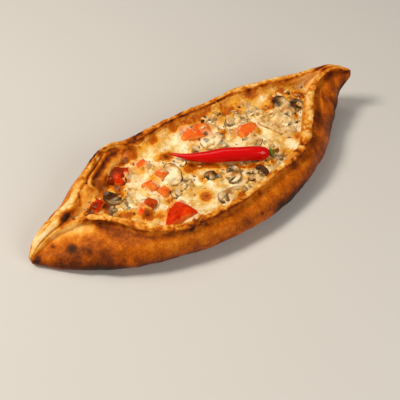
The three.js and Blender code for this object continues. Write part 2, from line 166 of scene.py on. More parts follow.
def along(column, x):
    """Hermite cubic through a column of the stations; each slope is the weighted mean of its two chords."""
    xs, ys = STATIONS[:, 0], STATIONS[:, STATION_COLUMNS.index(column)]
    step = np.diff(xs)
    chord = np.diff(ys) / step
    inner = (chord[:-1] * step[1:] + chord[1:] * step[:-1]) / (step[:-1] + step[1:])
    slope = np.concatenate([chord[:1], inner, chord[-1:]])
    i = np.clip(np.searchsorted(xs, x) - 1, 0, len(xs) - 2)
    t = (x - xs[i]) / step[i]
    pull = t * (1 - t) * step[i]
    return ys[i] + (ys[i + 1] - ys[i]) * t * t * (3 - 2 * t) + pull * ((1 - t) * slope[i] - t * slope[i + 1])


def smooth_step(start, stop, x):
    """3 t^2 - 2 t^3 with t running from 0 at start to 1 at stop."""
    t = np.clip((x - start) / (stop - start), 0, 1)
    return t * t * (3 - 2 * t)


def bell(x, middle, width):
    """exp(-((x - middle) / width)^2)."""
    return np.exp(-(((x - middle) / width) ** 2))


def rims_at(x):
    """Inner face, outer face and width of the near and far rims, and the clear opening and its middle."""
    slant = [
        np.minimum(2, np.hypot(1, (along(column, x + 1) - along(column, x - 1)) / 2))
        for column in ("near_rim_y", "far_rim_y")
    ]
    near_width = along("near_rim_width", x) * slant[0]
    far_width = along("far_rim_width", x) * slant[1]
    near_inner = along("near_rim_y", x) + near_width / 2
    far_inner = along("far_rim_y", x) - far_width / 2
    opening = np.maximum(far_inner - near_inner, SEAM_GAP)
    middle = (near_inner + far_inner) / 2
    near = (middle - opening / 2, middle - opening / 2 - near_width, near_width)
    far = (middle + opening / 2, middle + opening / 2 + far_width, far_width)
    return near, far, opening, middle


def side_controls(shared, rim, side_y, rim_z, inwards, floor_depth, crease, fold):
    """Eleven control points from the sole up the wall, over the rim and down to the middle of the floor."""
    centre, keel, middle, opening = shared
    inner, outer, width = rim
    height = rim_z - keel
    rise = np.minimum(RIM_RISE, 0.3 * height)
    pinch = inwards * crease
    return [
        (centre + 0.55 * (side_y - centre), keel - 1),
        (centre + 0.86 * (side_y - centre), keel + 0.1 * height),
        (side_y + 0.6 * pinch, keel + 0.38 * height),
        (side_y + 0.35 * (outer - side_y) + pinch, keel + 0.68 * height),
        (outer + inwards * 0.15 * width + pinch, rim_z - rise),
        (outer + inwards * 0.12 * width, rim_z - 0.18 * rise),
        (inner - inwards * 0.3 * width, rim_z),
        (inner, rim_z - 0.35 * rise),
        (inner + inwards * (0.04 * opening + 0.85 * fold), rim_z - 0.55 * floor_depth + 0.45 * fold),
        (inner + inwards * (0.16 * opening + fold), rim_z - 0.93 * floor_depth),
        (middle, rim_z - floor_depth),
    ]


def crust_controls(x):
    """Closed loops of 22 control points (y, z), one for each x: up the far side, then down the near one."""
    near, far, opening, middle = rims_at(x)
    keel = along("keel_z", x)
    sides = along("near_side_y", x), along("far_side_y", x)
    near_z, far_z = along("near_rim_z", x), along("far_rim_z", x)
    depth = np.minimum(near_z - BASE_THICKNESS - keel, 2 + 1.1 * opening)
    pinch = sum(size * bell(x, place, width) for place, size, width in PINCH_CREASES)
    shared = ((sides[0] + sides[1]) / 2, keel, middle, opening)
    fold = np.clip(along("far_fold", x), 0, 0.4 * opening)
    near_points = side_controls(shared, near, sides[0], near_z, 1, depth, pinch, 0)
    far_points = side_controls(shared, far, sides[1], far_z, -1, depth + far_z - near_z, 0, fold)
    points = [(shared[0], keel - 1)] + far_points + near_points[-2::-1]
    return np.array([np.broadcast_arrays(*point) for point in points]).transpose(2, 0, 1)


def closed_curve(controls, u):
    """Uniform Catmull-Rom through closed loops of control points, at u counted in control points."""
    count = controls.shape[1]
    i = np.floor(u).astype(int)
    t = (u - i)[None, :, None]
    a, b, c, d = (controls[:, (i + k) % count] for k in (-1, 0, 1, 2))
    return 0.5 * (2 * b + (c - a) * t + (2 * a - 5 * b + 4 * c - d) * t**2 + (3 * b - a - 3 * c + d) * t**3)


LATTICE = 32  # the noise repeats after this many cells


def noise(points, *layers):
    """Sum of layers (amount, cell in mm, seed): random -1..1 on a cubic lattice, blended by 3 t^2 - 2 t^3."""
    total = np.zeros(points.shape[:-1])
    for amount, cell, seed in layers:
        lattice = amount * np.random.default_rng(seed).uniform(-1, 1, (LATTICE, LATTICE, LATTICE))
        base = np.floor(points / cell).astype(int)
        t = points / cell - base
        t = t * t * (3 - 2 * t)
        for corner in np.ndindex(2, 2, 2):
            at = (base + corner) % LATTICE
            weight = np.prod(np.where(corner, t, 1 - t), axis=-1)
            total += weight * lattice[at[..., 0], at[..., 1], at[..., 2]]
    return total


def raised(points, relief):
    """Loops moved out by the relief along their normals, the cross product of the steps across and along."""
    steps_across = np.roll(points, -1, axis=1) - np.roll(points, 1, axis=1)
    normals = np.cross(steps_across, np.gradient(points, axis=0))
    lengths = np.maximum(np.linalg.norm(normals, axis=-1, keepdims=True), 1e-9)
    return points + normals / lengths * relief[..., None]


def loops_mesh(name, *parts):
    """Closed mesh of one or more stacks of equal loops in mm, with a point in the middle of each open end."""
    rows, size = parts[0].shape[:2]
    verts = [np.concatenate([points.reshape(-1, 3), points[[0, -1]].mean(1)]) for points in parts]
    index = np.arange(rows * size).reshape(rows, size)
    after = np.roll(index, -1, axis=1)
    quads = np.stack([index[:-1], after[:-1], after[1:], index[1:]], -1).reshape(-1, 4)
    start = np.stack([np.full(size, rows * size), after[0], index[0]], -1)
    stop = np.stack([np.full(size, rows * size + 1), index[-1], after[-1]], -1)
    first = np.arange(len(parts))[:, None, None] * (rows * size + 2)
    faces = [(first + shape).reshape(-1, shape.shape[1]).tolist() for shape in (quads, start, stop)]
    mesh = bpy.data.meshes.new(name)
    mesh.from_pydata((np.concatenate(verts) * MM).tolist(), [], faces[0] + faces[1] + faces[2])
    mesh.polygons.foreach_set("use_smooth", np.ones(len(mesh.polygons), dtype=bool))
    mesh.update()
    return mesh


def set_attribute(mesh, name, *parts):
    """One number for each vertex of a loops mesh; a part's two end points take the means of their loops."""
    full = [np.concatenate([values.ravel(), values[[0, -1]].mean(1)]) for values in parts]
    numbers = np.concatenate(full).astype(np.float32)
    mesh.attributes.new(name, "FLOAT", "POINT").data.foreach_set("value", numbers)


def add_piece(mesh, slot, *nodes):
    """Object for a finished mesh: it stands for CAD nodes, which it hides, and rides on the root body; the
    slot is not used.
    """
    piece = bpy.data.objects.new(mesh.name, mesh)
    bpy.context.scene.collection.objects.link(piece)
    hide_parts(*nodes)
    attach(piece, "root")


# How many mesh points lie between one control point of the section and the next, most of them on the rims.
SPAN_POINTS = [4, 5, 10, 12, 14, 16, 18, 16, 10, 6, 4, 4, 6, 10, 16, 18, 16, 14, 12, 10, 5, 4]
crust_u = np.concatenate([i + np.arange(n) / n for i, n in enumerate(SPAN_POINTS)])
CRUST_LOOPS = 408
share = np.linspace(0, 1, CRUST_LOOPS)
crust_x = -HALF_LENGTH * (0.22 * np.cos(np.pi * share) + 0.78 * (1 - 2 * share))  # closer towards the ends
crust = closed_curve(crust_controls(crust_x), crust_u)
crust = np.concatenate([np.broadcast_to(crust_x[:, None, None], crust.shape[:2] + (1,)), crust], -1)
u = np.broadcast_to(crust_u, crust.shape[:2])
x = crust[..., 0]
# Where the ends are pinched shut the skin runs straight from crest to crest. At the lower end the far flap
# laps over the near one in a step; at the raised end the two meet in a groove.
CREST_FAR = 7.0  # in control points round the section
crest_near = np.where(x < 0, 16.6, 15.6)
shut = 1 - np.where(x < 0, smooth_step(-123, -115, x), smooth_step(1.6, 5, rims_at(x)[2]))
far_crest, near_crest = (
    np.take_along_axis(crust, np.argmin(np.abs(u - at), axis=1)[:, None, None], axis=1)
    for at in (CREST_FAR, crest_near)
)
bridge = np.clip((u - CREST_FAR) / (crest_near - CREST_FAR), 0, 1)
straight = far_crest + (near_crest - far_crest) * bridge[..., None]
between = (u > CREST_FAR) & (u < crest_near)
crust = crust + (shut * between)[..., None] * (straight - crust)
lower_end, upper_end = shut * smooth_step(-100, -120, x), shut * smooth_step(100, 120, x)
# The far flap's edge, as a share of the way from the far crest to the near one, from the tip inwards.
lap_edge = np.interp(x, (-156, -150, -140, -132, -126, -121, -115), (0.8, 0.6, 0.58, 0.57, 0.42, 0.32, 0.1))
on_far = bridge / lap_edge
on_near = np.clip((bridge - lap_edge) / (1 - lap_edge), 0, 1)
lap = 1.8 * smooth_step(-0.1, 0.4, on_far) * (1 - smooth_step(0.88, 1, on_far))
lap = lap + 1.5 * np.sin(np.pi * on_near) ** 0.8 - 0.9 * bell(bridge, lap_edge, 0.04)
groove = 0.9 * np.sin(np.pi * bridge) - 2.2 * bell(bridge, 0.5, 0.1)
short_of_tip = np.minimum(1, (HALF_LENGTH - np.abs(x)) / 8)
crust[..., 2] += between * short_of_tip * (lower_end * lap + upper_end * groove)


def along_path(points, path, width):
    """exp(-(d / width)^2), where d is the distance from each point to a path of straight pieces."""
    nearest = np.full(points.shape[:-1], np.inf)
    path = np.array(path, dtype=float)
    for start, stop in zip(path[:-1], path[1:]):
        step = stop - start
        t = np.clip((points - start) @ step / (step @ step), 0, 1)
        nearest = np.minimum(nearest, np.linalg.norm(points - start - t[..., None] * step, axis=-1))
    return bell(nearest, 0, width)


def spots(points, rows):
    """Sum over the rows of amount times exp(-(d / radius)^2), with d the distance to the row's place."""
    return sum(
        amount * bell(np.linalg.norm(points - place, axis=-1), 0, radius) for *place, radius, amount in rows
    )


def edge_band(rows):
    """Band that follows an edge: rows of x, middle in u, half-width in u and strength, with linear steps."""
    middle, width, strength = (np.interp(x, [r[0] for r in rows], [r[k] for r in rows]) for k in (1, 2, 3))
    return strength * bell(u, middle, width)


# Folds of the dough and one painted highlight line: a path on the skin, then its width, its rise or depth,
# and how much it browned, which also carries painted shade under the curled lip and, negative, the painted
# highlight.
FOLDS_WITH_PAINTED_LIGHT = [
    ([(-54, 56, 32), (-58, 57, 32), (-64, 57, 32), (-72, 52, 32), (-80, 47, 32), (-88, 43, 32),
      (-93, 38, 31)], 1.0, -1.7, 0.4),
    ([(-62, 57, 32), (-70, 51.5, 31), (-78, 46.5, 31), (-86, 41.5, 31), (-92, 36, 30)], 0.8, 1.3, -0.1),
    ([(-54, 53, 30), (-59, 54, 31), (-67, 50, 30), (-75, 45, 30), (-84, 40, 30), (-87, 36, 28)],
     2.8, -1.7, 0.36),
    ([(-88, 35, 28), (-86, 31, 25)], 2.2, -1.4, 0.14),
    ([(-98, 32, 30), (-95, 35, 30), (-91, 34, 29), (-88, 31, 26)], 1.2, 1.4, -0.1),
    ([(-103, 32, 31), (-105, 28, 29), (-107, 24, 27)], 1.3, -1.4, 0.12),
    ([(-58, 49, 27), (-66, 45, 27), (-74, 41, 28), (-80, 37, 27)], 2.2, 1.2, -0.04),
    ([(-129, 20, 27), (-124, 22, 28), (-117, 23.5, 28), (-111, 25, 29)], 2.4, 1.2, 0.1),
    ([(-101, 31, 24), (-96, 35, 25), (-92, 38, 25), (-84, 42, 20)], 2.6, 1.2, -0.12),
    ([(-141, 16, 17), (-142, 12, 14)], 0.9, -1.2, 0.22),
    # The next fold, under the curled start of the near lip, is partly browning and partly painted shade.
    ([(-117, 9, 28), (-112, 5, 28), (-105, -2, 27), (-98, -10, 28), (-88, -24, 30)], 2.2, -1.3, 0.04),
    # A painted highlight: a thin pale line along the foot of the near wall at the lower end.
    ([(-150, 6, 3), (-138, -6, 3), (-120, -24, 3), (-100, -36, 3)], 1.6, 0.5, -0.3),
    ([(129, 6, 33), (121, -5, 30), (114, -15, 28)], 1.1, 0.9, -0.1),
    ([(128, -2, 31), (128, -9, 27), (126, -15, 21)], 1.3, 1.0, -0.14),
    ([(134, 0, 30), (133, -7, 24), (130, -12, 19)], 1.2, -0.9, 0.1),
    ([(66, -30, 33), (71, -35, 35), (76, -41, 31)], 2.2, -2.6, 0.4),
    ([(76, -26, 34), (80, -31, 36), (85, -34, 33)], 3.0, 1.3, -0.1),
    ([(103, -12, 37), (107, -9, 38), (111, -6, 37)], 0.9, -1.1, 0.08),
    ([(123, 5, 35), (114, -5, 34), (102, -15, 33), (95, -22, 33), (85, -31, 32)], 1.8, -1.5, 0.12),
    ([(-42, 54, 36), (-36, 52, 35), (-30, 50, 32)], 1.6, -1.2, 0.2),
    ([(40, 49, 37), (46, 47, 35), (50, 45, 32)], 1.4, -1.0, 0.14),
    ([(100, 33, 38), (108, 28, 38), (118, 23, 38)], 1.6, -1.2, 0.1),
]
# Blisters: the middle, the radius and the height of each.
BLISTERS = [
    (-124.5, 22.5, 27, 3.6, 1.5), (-100, -39, 17, 3.0, 0.7), (-131, 2, 17, 3.4, 0.8),
    (-124, -10, 18, 4.2, 0.9), (-114, -14, 22, 3.0, 0.7), (54, -45, 27, 3.4, 0.9), (-30, -62, 16, 4.0, 0.8),
    (20, -58, 20, 5.0, 0.8), (66, -46, 22, 4.0, 0.8), (98, 36, 38, 3.0, 0.8), (40, 60, 14, 5.0, 0.9),
    (-50, 63, 20, 4.5, 0.9),
]
# Relief in mm: broad puffs and fine wrinkles all over, and a crumbly, cracked edge along both rims.
puff = noise(crust, (0.8, 24, 1), (0.4, 9, 2))
wrinkle = noise(crust, (0.2, 3.4, 3), (0.1, 1.7, 4))
rim = bell(u, 7, 1.2) + bell(u, 15.2, 1.4) * (1 - 0.85 * lower_end)
crumbly = noise(crust, (0.7, 6, 5), (0.45, 2.8, 6), (0.24, 1.6, 15))
cracks = smooth_step(0.16, 0.02, np.abs(noise(crust, (1, 5.5, 14), (0.3, 2.2, 16))))
relief = puff + wrinkle + rim * (crumbly - 0.45 * cracks)
for path, width, rise, browning in FOLDS_WITH_PAINTED_LIGHT:
    relief = relief + rise * along_path(crust, path, width)
relief = relief + spots(crust, BLISTERS)
fade = np.minimum(1, (HALF_LENGTH - np.abs(x)) / 5)
skin = crust
crust = raised(crust, fade * relief)
crust[..., 2] = np.maximum(crust[..., 2], 0)
crust_mesh = loops_mesh("dough_boat", crust)

# How far the skin is baked, 0 pale to 1 charred, with painted shade and a painted highlight in the same
# number:
# first by its place round the section, then along the edges that caught the heat, then spot by spot.
# In both tables the lower near wall, from 19 to 20 round the section, is made darker as painted contact
# shadow at the foot.
BAKE_AND_SHADE_ROUND = [
    (0, 0.4), (1, 0.44), (2, 0.5), (2.6, 0.54), (3, 0.52), (4, 0.44), (5, 0.34), (6, 0.27), (6.7, 0.24),
    (7.1, 0.36), (7.6, 0.4), (8.1, 0.26), (8.8, 0.16), (10, 0.14), (11, 0.14), (12, 0.16), (13, 0.34),
    (14.3, 0.42), (14.9, 0.24), (15.6, 0.32), (16.4, 0.46), (17.2, 0.48), (18, 0.51), (18.6, 0.58),
    (19.1, 0.7), (20, 0.7), (21, 0.54), (22, 0.4),
]
BAKE_AND_SHADE_LOWER_END = [
    (0, 0.4), (2, 0.48), (4, 0.42), (6, 0.27), (7.2, 0.2), (8.5, 0.1), (11.5, 0.12), (13, 0.3), (16, 0.3),
    (17.2, 0.4), (18, 0.5), (19, 0.7), (20, 0.72), (22, 0.4),
]
# The band along the outside of the near lip is partly char and partly painted shade under the lip's overhang.
NEAR_EDGE_AND_SHADE = [
    (-160, 16, 0.4, 0), (-123, 15.9, 0.3, 0), (-117, 15.6, 0.3, 0.3), (-111, 15.9, 0.3, 0.24),
    (-102, 16.8, 0.3, 0.1), (-92, 17.2, 0.25, 0.26), (-80, 17.25, 0.3, 0.28), (-70, 17.0, 0.4, 0.2),
    (-56, 16.6, 0.5, 0.26), (-25, 16.4, 0.55, 0.4), (-10, 16.4, 0.45, 0.34), (8, 16.3, 0.35, 0.2),
    (30, 16.6, 0.3, 0.02), (50, 16.8, 0.45, 0.22), (62, 16.4, 0.4, 0.3), (75, 16.4, 0.5, 0.36),
    (90, 17.2, 0.5, 0.3), (115, 17.2, 0.5, 0.3), (126, 16.6, 0.6, 0.24), (136, 16.2, 0.5, 0.14),
    (160, 16, 0.6, 0.14),
]
FAR_EDGE = [
    (-160, 8, 0.3, 0), (-119, 8.0, 0.3, 0), (-92, 8.3, 0.2, 0.1), (-55, 8.4, 0.2, 0.1), (-48, 7.9, 0.3, 0.3),
    (-20, 7.6, 0.4, 0.34), (4, 7.5, 0.4, 0.36), (30, 7.8, 0.3, 0.26), (60, 7.9, 0.3, 0.26),
    (74, 8.1, 0.3, 0.4), (96, 7.9, 0.3, 0.3), (120, 7.9, 0.3, 0.2), (160, 7.4, 0.4, 0.16),
]
# Browned or pale places, and a few of painted shade: the middle, the radius and the change.
BROWNED_AND_SHADED = [
    (-126, 19, 29, 3.8, 0.75), (-121.5, 20, 30, 3.8, 0.7), (-116.5, 22, 29, 3.0, 0.34),
    (-112, 22.5, 27, 3.0, 0.2), (-118, 26, 29, 4.0, -0.2), (-110, 32, 31, 7.0, -0.12),
    (-131, -1, 17, 3.2, 0.26), (-126, -7, 18, 3.0, 0.12), (-123, -12, 18, 4.0, 0.26),
    (-114, -13, 22, 3.0, 0.2), (-118, -18, 19, 3.0, 0.1), (-141, -2, 13, 9.0, 0.12),
    (-117, -24, 16, 10.0, 0.12), (-98, -40, 15, 9.0, 0.12), (-98, -19, 26, 7.0, 0.22),
    (-106, -6, 25, 4.0, 0.14), (-125, 12, 21, 5.0, -0.16), (-114, 3, 24, 5.0, -0.2),
    (-119, 8, 23, 4.0, -0.16), (-158, 13, 8, 4.0, 0.3), (-152, 14, 12, 3.0, 0.12), (-108, 6, 33, 4.0, -0.08),
    (-100, -39, 17, 2.4, 0.2), (4, -64, 20, 1.4, 0.35), (12, -51, 27, 2.0, 0.3), (-55, -50, 30, 1.8, 0.3),
    (-42, -51, 28, 1.8, 0.3), (54, -45, 27, 4.0, 0.2), (-6, -63, 20, 14.0, 0.12), (70, -47, 22, 12.0, 0.1),
    (87, -41, 20, 12.0, 0.1), (110, -24, 22, 12.0, 0.16), (140, 5, 32, 6.0, 0.1), (27, -47, 33, 4.0, -0.12),
    (124, 10, 40, 3.0, 0.14), (80, -29, 36, 4.0, -0.1), (76, 43, 36, 3.4, 0.3), (100, 36, 38, 6.0, -0.14),
    (138, 21, 41, 5.0, 0.16), (147, 18, 42, 4.0, 0.14), (96, 38, 38, 2.0, 0.2), (-66.5, 60.5, 34, 3.0, 0.4),
    (-73.5, 58, 34, 3.0, 0.3), (-79, 55.5, 33.5, 3.0, 0.3), (-35.5, 55.5, 35, 2.6, 0.3),
    (38, -62, 12, 6.0, 0.2), (24.5, -64, 15, 4.0, 0.2), (-16.5, -64, 10, 5.0, -0.2), (-2, -65, 10, 5.0, -0.2),
    (52, -58, 13, 5.0, 0.14), (158, 4, 39, 4.0, 0.24), (-42, 56, 35, 4.0, 0.28), (-65, 59, 35, 4.0, -0.1),
    (-101, 27, 28, 4.0, 0.06), (-92, 31, 28, 5.0, 0.2), (-84, 33, 27, 5.0, 0.34), (-79, 40, 28, 6.0, 0.12),
    (-69, 46, 28, 6.0, 0.16), (-58, 52, 29, 5.0, 0.2), (-19, 49, 29, 3.0, 0.16), (-1, 50, 31, 4.0, 0.2),
    (10, 52, 36, 4.0, 0.3), (108, 24, 30, 9.0, 0.2), (120, 22, 26, 6.0, 0.3), (-40, 66, 20, 8.0, 0.12),
    (60, 57, 18, 9.0, 0.12), (10, 66, 16, 6.0, 0.16), (-100, 50, 16, 6.0, 0.14), (-30, 65, 28, 4.0, 0.14),
    (30, -5, 0, 16.0, 0.2), (-60, 10, 0, 20.0, 0.16), (85, -10, 2, 10.0, 0.2), (-10, -30, 0, 12.0, 0.14),
    (-110, 10, 0, 10.0, 0.18), (76, -37, 34, 4.0, 0.26), (-120, 33, 22, 12.0, -0.1),
    (-140, 26, 16, 10.0, -0.08), (98, -9, 37, 8.0, -0.1), (110, 2, 38, 7.0, -0.12), (60, -46, 28, 4.0, -0.14),
    (134, 10, 34, 6.0, -0.32), (147, 2, 30, 6.0, -0.24), (158, 1.5, 36, 4.0, -0.24), (123, 4, 32, 5.0, -0.16),
    (142, 18, 43, 5.0, 0.16), (127.5, 10.4, 40, 3.0, 0.24), (96, -23, 30, 4.0, -0.16),
    (90, -26, 29, 4.0, -0.14), (38, -45, 28, 7.0, -0.14), (-12, -65, 11, 6.0, -0.2), (76, 43, 37, 5.0, -0.24),
    # The spots at (-121, -24, 5), (-131, -17, 5) and (-113, -32, 7) are painted contact shadow at the foot of
    # the near wall.
    (-131, -6, 16, 5.0, 0.2), (-84, -30, 35, 4.0, 0.2), (-121, -24, 5, 8.0, 0.3), (-131, -17, 5, 6.0, 0.2),
    (-113, -32, 7, 6.0, 0.2), (-79, -50, 9, 6.0, 0.14), (-60, 61, 33, 4.0, -0.14), (-90, 41, 31, 3.0, -0.2),
    (-120, -4, 20, 6.0, 0.1), (-140, 8, 18, 4.0, 0.1), (-92, -17, 29, 5.0, -0.14), (-76, -40, 31, 4.0, -0.14),
    (-44, -50, 34, 4.0, 0.24), (38, -62, 12, 9.0, 0.24), (50, -59, 12, 7.0, 0.2), (25, -64, 14, 7.0, 0.2),
    (-134, 9, 16, 4.0, 0.14), (-142, 13, 14, 4.0, 0.2), (-155, 13, 9, 3.0, 0.2), (26, -44, 33.5, 4.0, 0.14),
    (-6, -48, 34.5, 4.0, 0.14), (59, -38, 35, 4.0, 0.16), (-86, 51, 33, 4.0, 0.14), (84, -38, 26, 4.0, -0.1),
    (-69, -44, 36, 4.0, 0.2), (-102, -8, 25, 4.0, 0.16), (8, -66, 11, 6.0, -0.2), (-44, -60, 10, 6.0, -0.18),
    (0, -55, 26, 5.0, -0.18), (83, -36, 27, 4.0, 0.16), (140, -3, 28, 4.0, -0.2), (126, 25, 39, 4.0, -0.16),
    (10, 51, 35, 4.0, -0.2), (75, -33, 36, 4.0, 0.2), (-77, 35, 26, 6.0, 0.28), (-94, 31, 28, 5.0, 0.14),
    (-30, 55, 35.5, 4.0, 0.3), (-21, 53, 36, 4.0, 0.24), (-101, 28, 28, 4.0, 0.08), (-107, 26, 27, 4.0, 0.16),
    (-70, 60, 34.5, 3.4, 0.7), (-79, 55.5, 34, 3.2, 0.6), (-30, 55, 36.5, 3.4, 0.6), (-72, 54, 33, 2.6, -0.4),
    # The spot at (-114, 7, 30) is painted shadow under the curled start of the near lip.
    (-74, 58.5, 34.5, 2.2, 0.5), (-114, 7, 30, 2.8, 0.5), (-130, 18, 24, 2.4, 0.3),
    (-125.5, 20, 30, 2.4, -0.25), (-127, 36, 19, 3.6, 0.24), (81, 41, 35, 4.0, -0.24),
    (-8, -48, 34, 3.4, 0.22), (-90, -20, 30, 3.4, -0.24), (-95, -11, 27, 3.4, -0.22), (-108, 4, 28, 3.0, 0.2),
    (-42, -48, 34, 3.4, 0.2), (-86, 51, 33, 3.4, 0.14), (126, -1, 31, 3.4, 0.16), (51, -40, 34, 3.4, 0.18),
    (62, -43, 34, 3.4, 0.2), (26, -44, 33.5, 3.6, 0.16), (68, 45, 34, 4.0, -0.2), (-52, -50, 35, 3.4, 0.14),
    (13, 55, 35, 3.4, 0.16), (110, -13, 29, 4.0, 0.12), (-63, 49, 28, 3.4, 0.16), (-133, 0, 17, 3.6, 0.3),
    (77, 42, 32.5, 3.0, 0.3), (-107, -1, 25, 3.4, 0.24), (-87, 36, 27, 3.0, -0.25), (132, -1, 31, 4.0, -0.26),
    (75, -37, 34, 3.4, -0.24), (-103, -39, 15, 5.0, -0.26), (37, -60, 19, 5.0, -0.16),
    (142, 18, 43, 3.4, 0.16), (-75, 45, 29, 4.0, 0.16), (158, 2, 32, 3.6, -0.16), (-116, 21, 26, 3.4, 0.14),
]
bake_and_shade, end_bake_and_shade = (np.interp(u, *np.array(rows).T) for rows in (BAKE_AND_SHADE_ROUND, BAKE_AND_SHADE_LOWER_END))
bake_and_shade = bake_and_shade + smooth_step(-114, -124, x) * (end_bake_and_shade - bake_and_shade)
ragged = 0.8 + noise(crust, (0.6, 8, 12), (0.5, 3, 13))
bake_and_shade = bake_and_shade + ragged * (0.8 * edge_band(NEAR_EDGE_AND_SHADE) + edge_band(FAR_EDGE))
bake_and_shade = bake_and_shade + spots(crust, BROWNED_AND_SHADED)
# Each fold's last column is browning, except that it paints shade under the curled lip and a highlight along
# the foot.
for path, width, rise, browning in FOLDS_WITH_PAINTED_LIGHT:
    bake_and_shade = bake_and_shade + browning * (0.6 + 0.4 * ragged) * along_path(skin, path, width)
# The near wall of the raised end and both seams browned more than the rest.
prow = smooth_step(118, 132, x) * smooth_step(15.8, 17, u) * (1 - smooth_step(19.5, 21, u))
seams = lower_end * bell(bridge, lap_edge, 0.05) + upper_end * bell(bridge, 0.5, 0.12)
bake_and_shade = bake_and_shade + 0.2 * prow + 0.3 * between * seams
bake_and_shade = bake_and_shade + noise(crust, (0.06, 13, 7), (0.05, 5, 8)) - 0.03 * puff
bake_and_shade = bake_and_shade + rim * (0.2 * cracks + noise(crust, (0.14, 6, 9), (0.18, 2.6, 11)))
set_attribute(crust_mesh, "bake_and_shade", bake_and_shade)
set_attribute(crust_mesh, "dusting", smooth_step(0.1, 0.7, rim + noise(crust, (0.3, 6, 10))))
add_piece(crust_mesh, "baked_dough", "dough_boat")

# Baked wheat dough, blistered in a hot oven and brushed with butter: pale cream through golden, orange-brown
# and purple-brown to char. The buttered skin shines where it is golden and goes dull where it is floury or
# charred.
dough, tree = new_material("buttered_baked_dough")
coords = add_node(tree, "TexCoord").outputs["Object"]
# This number holds how far the skin is baked, together with painted shade at the foot and under the near lip
# and a painted highlight line along the foot.
baked = add_node(tree, "Attribute", attribute_name="bake_and_shade")
floury = add_node(tree, "Attribute", attribute_name="dusting")
mottle = add_node(tree, "TexNoise", {"Vector": coords, "Scale": 260.0, "Detail": 5.0, "Roughness": 0.62})
patch = add_node(tree, "TexNoise", {"Vector": coords, "Scale": 85.0, "Detail": 3.0, "Roughness": 0.5})
pores = add_node(tree, "TexNoise", {"Vector": coords, "Scale": 1100.0, "Detail": 3.0, "Roughness": 0.6})
uneven = add_node(tree, "Math", {0: mottle, 1: patch}, operation="ADD")
spread = add_node(tree, "MapRange", {
    "Value": uneven, "From Min": 0.6, "From Max": 1.4, "To Min": -0.12, "To Max": 0.12,
})
# Pin-head blisters of 1 to 2 mm, some a little browner than the skin about them and some a little paler.
speckle = add_node(tree, "TexNoise", {"Vector": coords, "Scale": 620.0, "Detail": 3.0, "Roughness": 0.7})
freckles = add_node(tree, "MapRange", {
    "Value": speckle, "From Min": 0.34, "From Max": 0.66, "To Min": -0.055, "To Max": 0.055,
})
evenly = add_node(tree, "Math", {0: baked, 1: spread}, operation="ADD")
total = add_node(tree, "Math", {0: evenly, 1: freckles}, operation="ADD")
crust_colour = add_node(tree, "ValToRGB", {"Fac": total}, [
    (0.0, "#f8dca4"), (0.14, "#f2be6c"), (0.28, "#e69e3c"), (0.4, "#d47a1a"), (0.52, "#b85706"),
    (0.64, "#8c3c08"), (0.77, "#58220e"), (0.9, "#361a14"), (1.0, "#1c1214"),
])
gloss = add_node(tree, "MapRange", {
    "Value": total, "From Min": 0.3, "From Max": 0.75, "To Min": 0.32, "To Max": 0.55,
})
dull = add_node(tree, "Math", {0: floury, 1: 0.16}, operation="MULTIPLY")
roughness = add_node(tree, "Math", {0: gloss, 1: dull}, operation="ADD")
grain = add_node(tree, "Math", {0: pores, 1: speckle}, operation="ADD")
bump = add_node(tree, "Bump", {"Height": grain, "Strength": 0.6, "Distance": 0.0005})
shader = add_node(tree, "BsdfPrincipled", {
    "Base Color": crust_colour, "Roughness": roughness, "Normal": bump,
    "Specular IOR Level": 0.36, "IOR": 1.45, "Specular Tint": linear("#ffbc70"),
})
add_node(tree, "OutputMaterial", {"Surface": shader})
crust_mesh.materials.append(dough)


# ---- Tomato pieces ----
# Ripe tomato, diced by hand and roasted on top of the cheese: the skin side is up, wet and glossy, and the
# cut flesh shows at the sides. The pieces lie half sunk in the melted cheese, which is level in the middle of
# the boat and climbs its walls.
CHEESE_LEVEL = 24.5
CHEESE_CLIMB = 7
CHEESE_FREEBOARD = 4


def cheese_height(x, y):
    """The level, plus the climb times the sixth power of the place across, plus two swells, under the rim."""
    _, _, opening, middle = rims_at(x)
    across = np.clip(2 * (y - middle) / opening, -1, 1)
    climb = np.where(across > 0, smooth_step(-68, -44, x), 0.35) * CHEESE_CLIMB * across**6
    long_swell = 0.7 * np.sin(x / 9 + y / 14) * np.cos(y / 8 - x / 23)
    short_swell = 0.5 * np.sin(x / 4.7 - y / 6.1)
    end_rise = 3 * smooth_step(85, 130, x)
    rim_z = np.where(across > 0, along("far_rim_z", x), along("near_rim_z", x))
    return np.minimum(CHEESE_LEVEL + climb + long_swell + short_swell + end_rise, rim_z - CHEESE_FREEBOARD)


def polygon_outline(corners):
    """Reach at an angle: the tenth-power mean of the polygon's sides, each taken as a half-plane."""
    corners = np.array(corners, dtype=float)
    offset = corners - corners.mean(0)
    step = np.roll(offset, -1, axis=0) - offset
    normal = np.stack([step[:, 1], -step[:, 0]], -1) / np.linalg.norm(step, axis=1, keepdims=True)
    normal = normal / (offset * normal).sum(1, keepdims=True)

    def reach(angle):
        pull = normal[:, 0] * np.cos(angle)[..., None] + normal[:, 1] * np.sin(angle)[..., None]
        return (np.maximum(pull, 0) ** 10).sum(-1) ** -0.1

    return reach


RING_SHARES = np.concatenate([np.linspace(0.05, 0.9, 15), [0.94, 0.968, 0.985, 0.995]])


def ring_angles(sides):
    """Equal steps round one full turn."""
    return 2 * np.pi * np.arange(sides) / sides


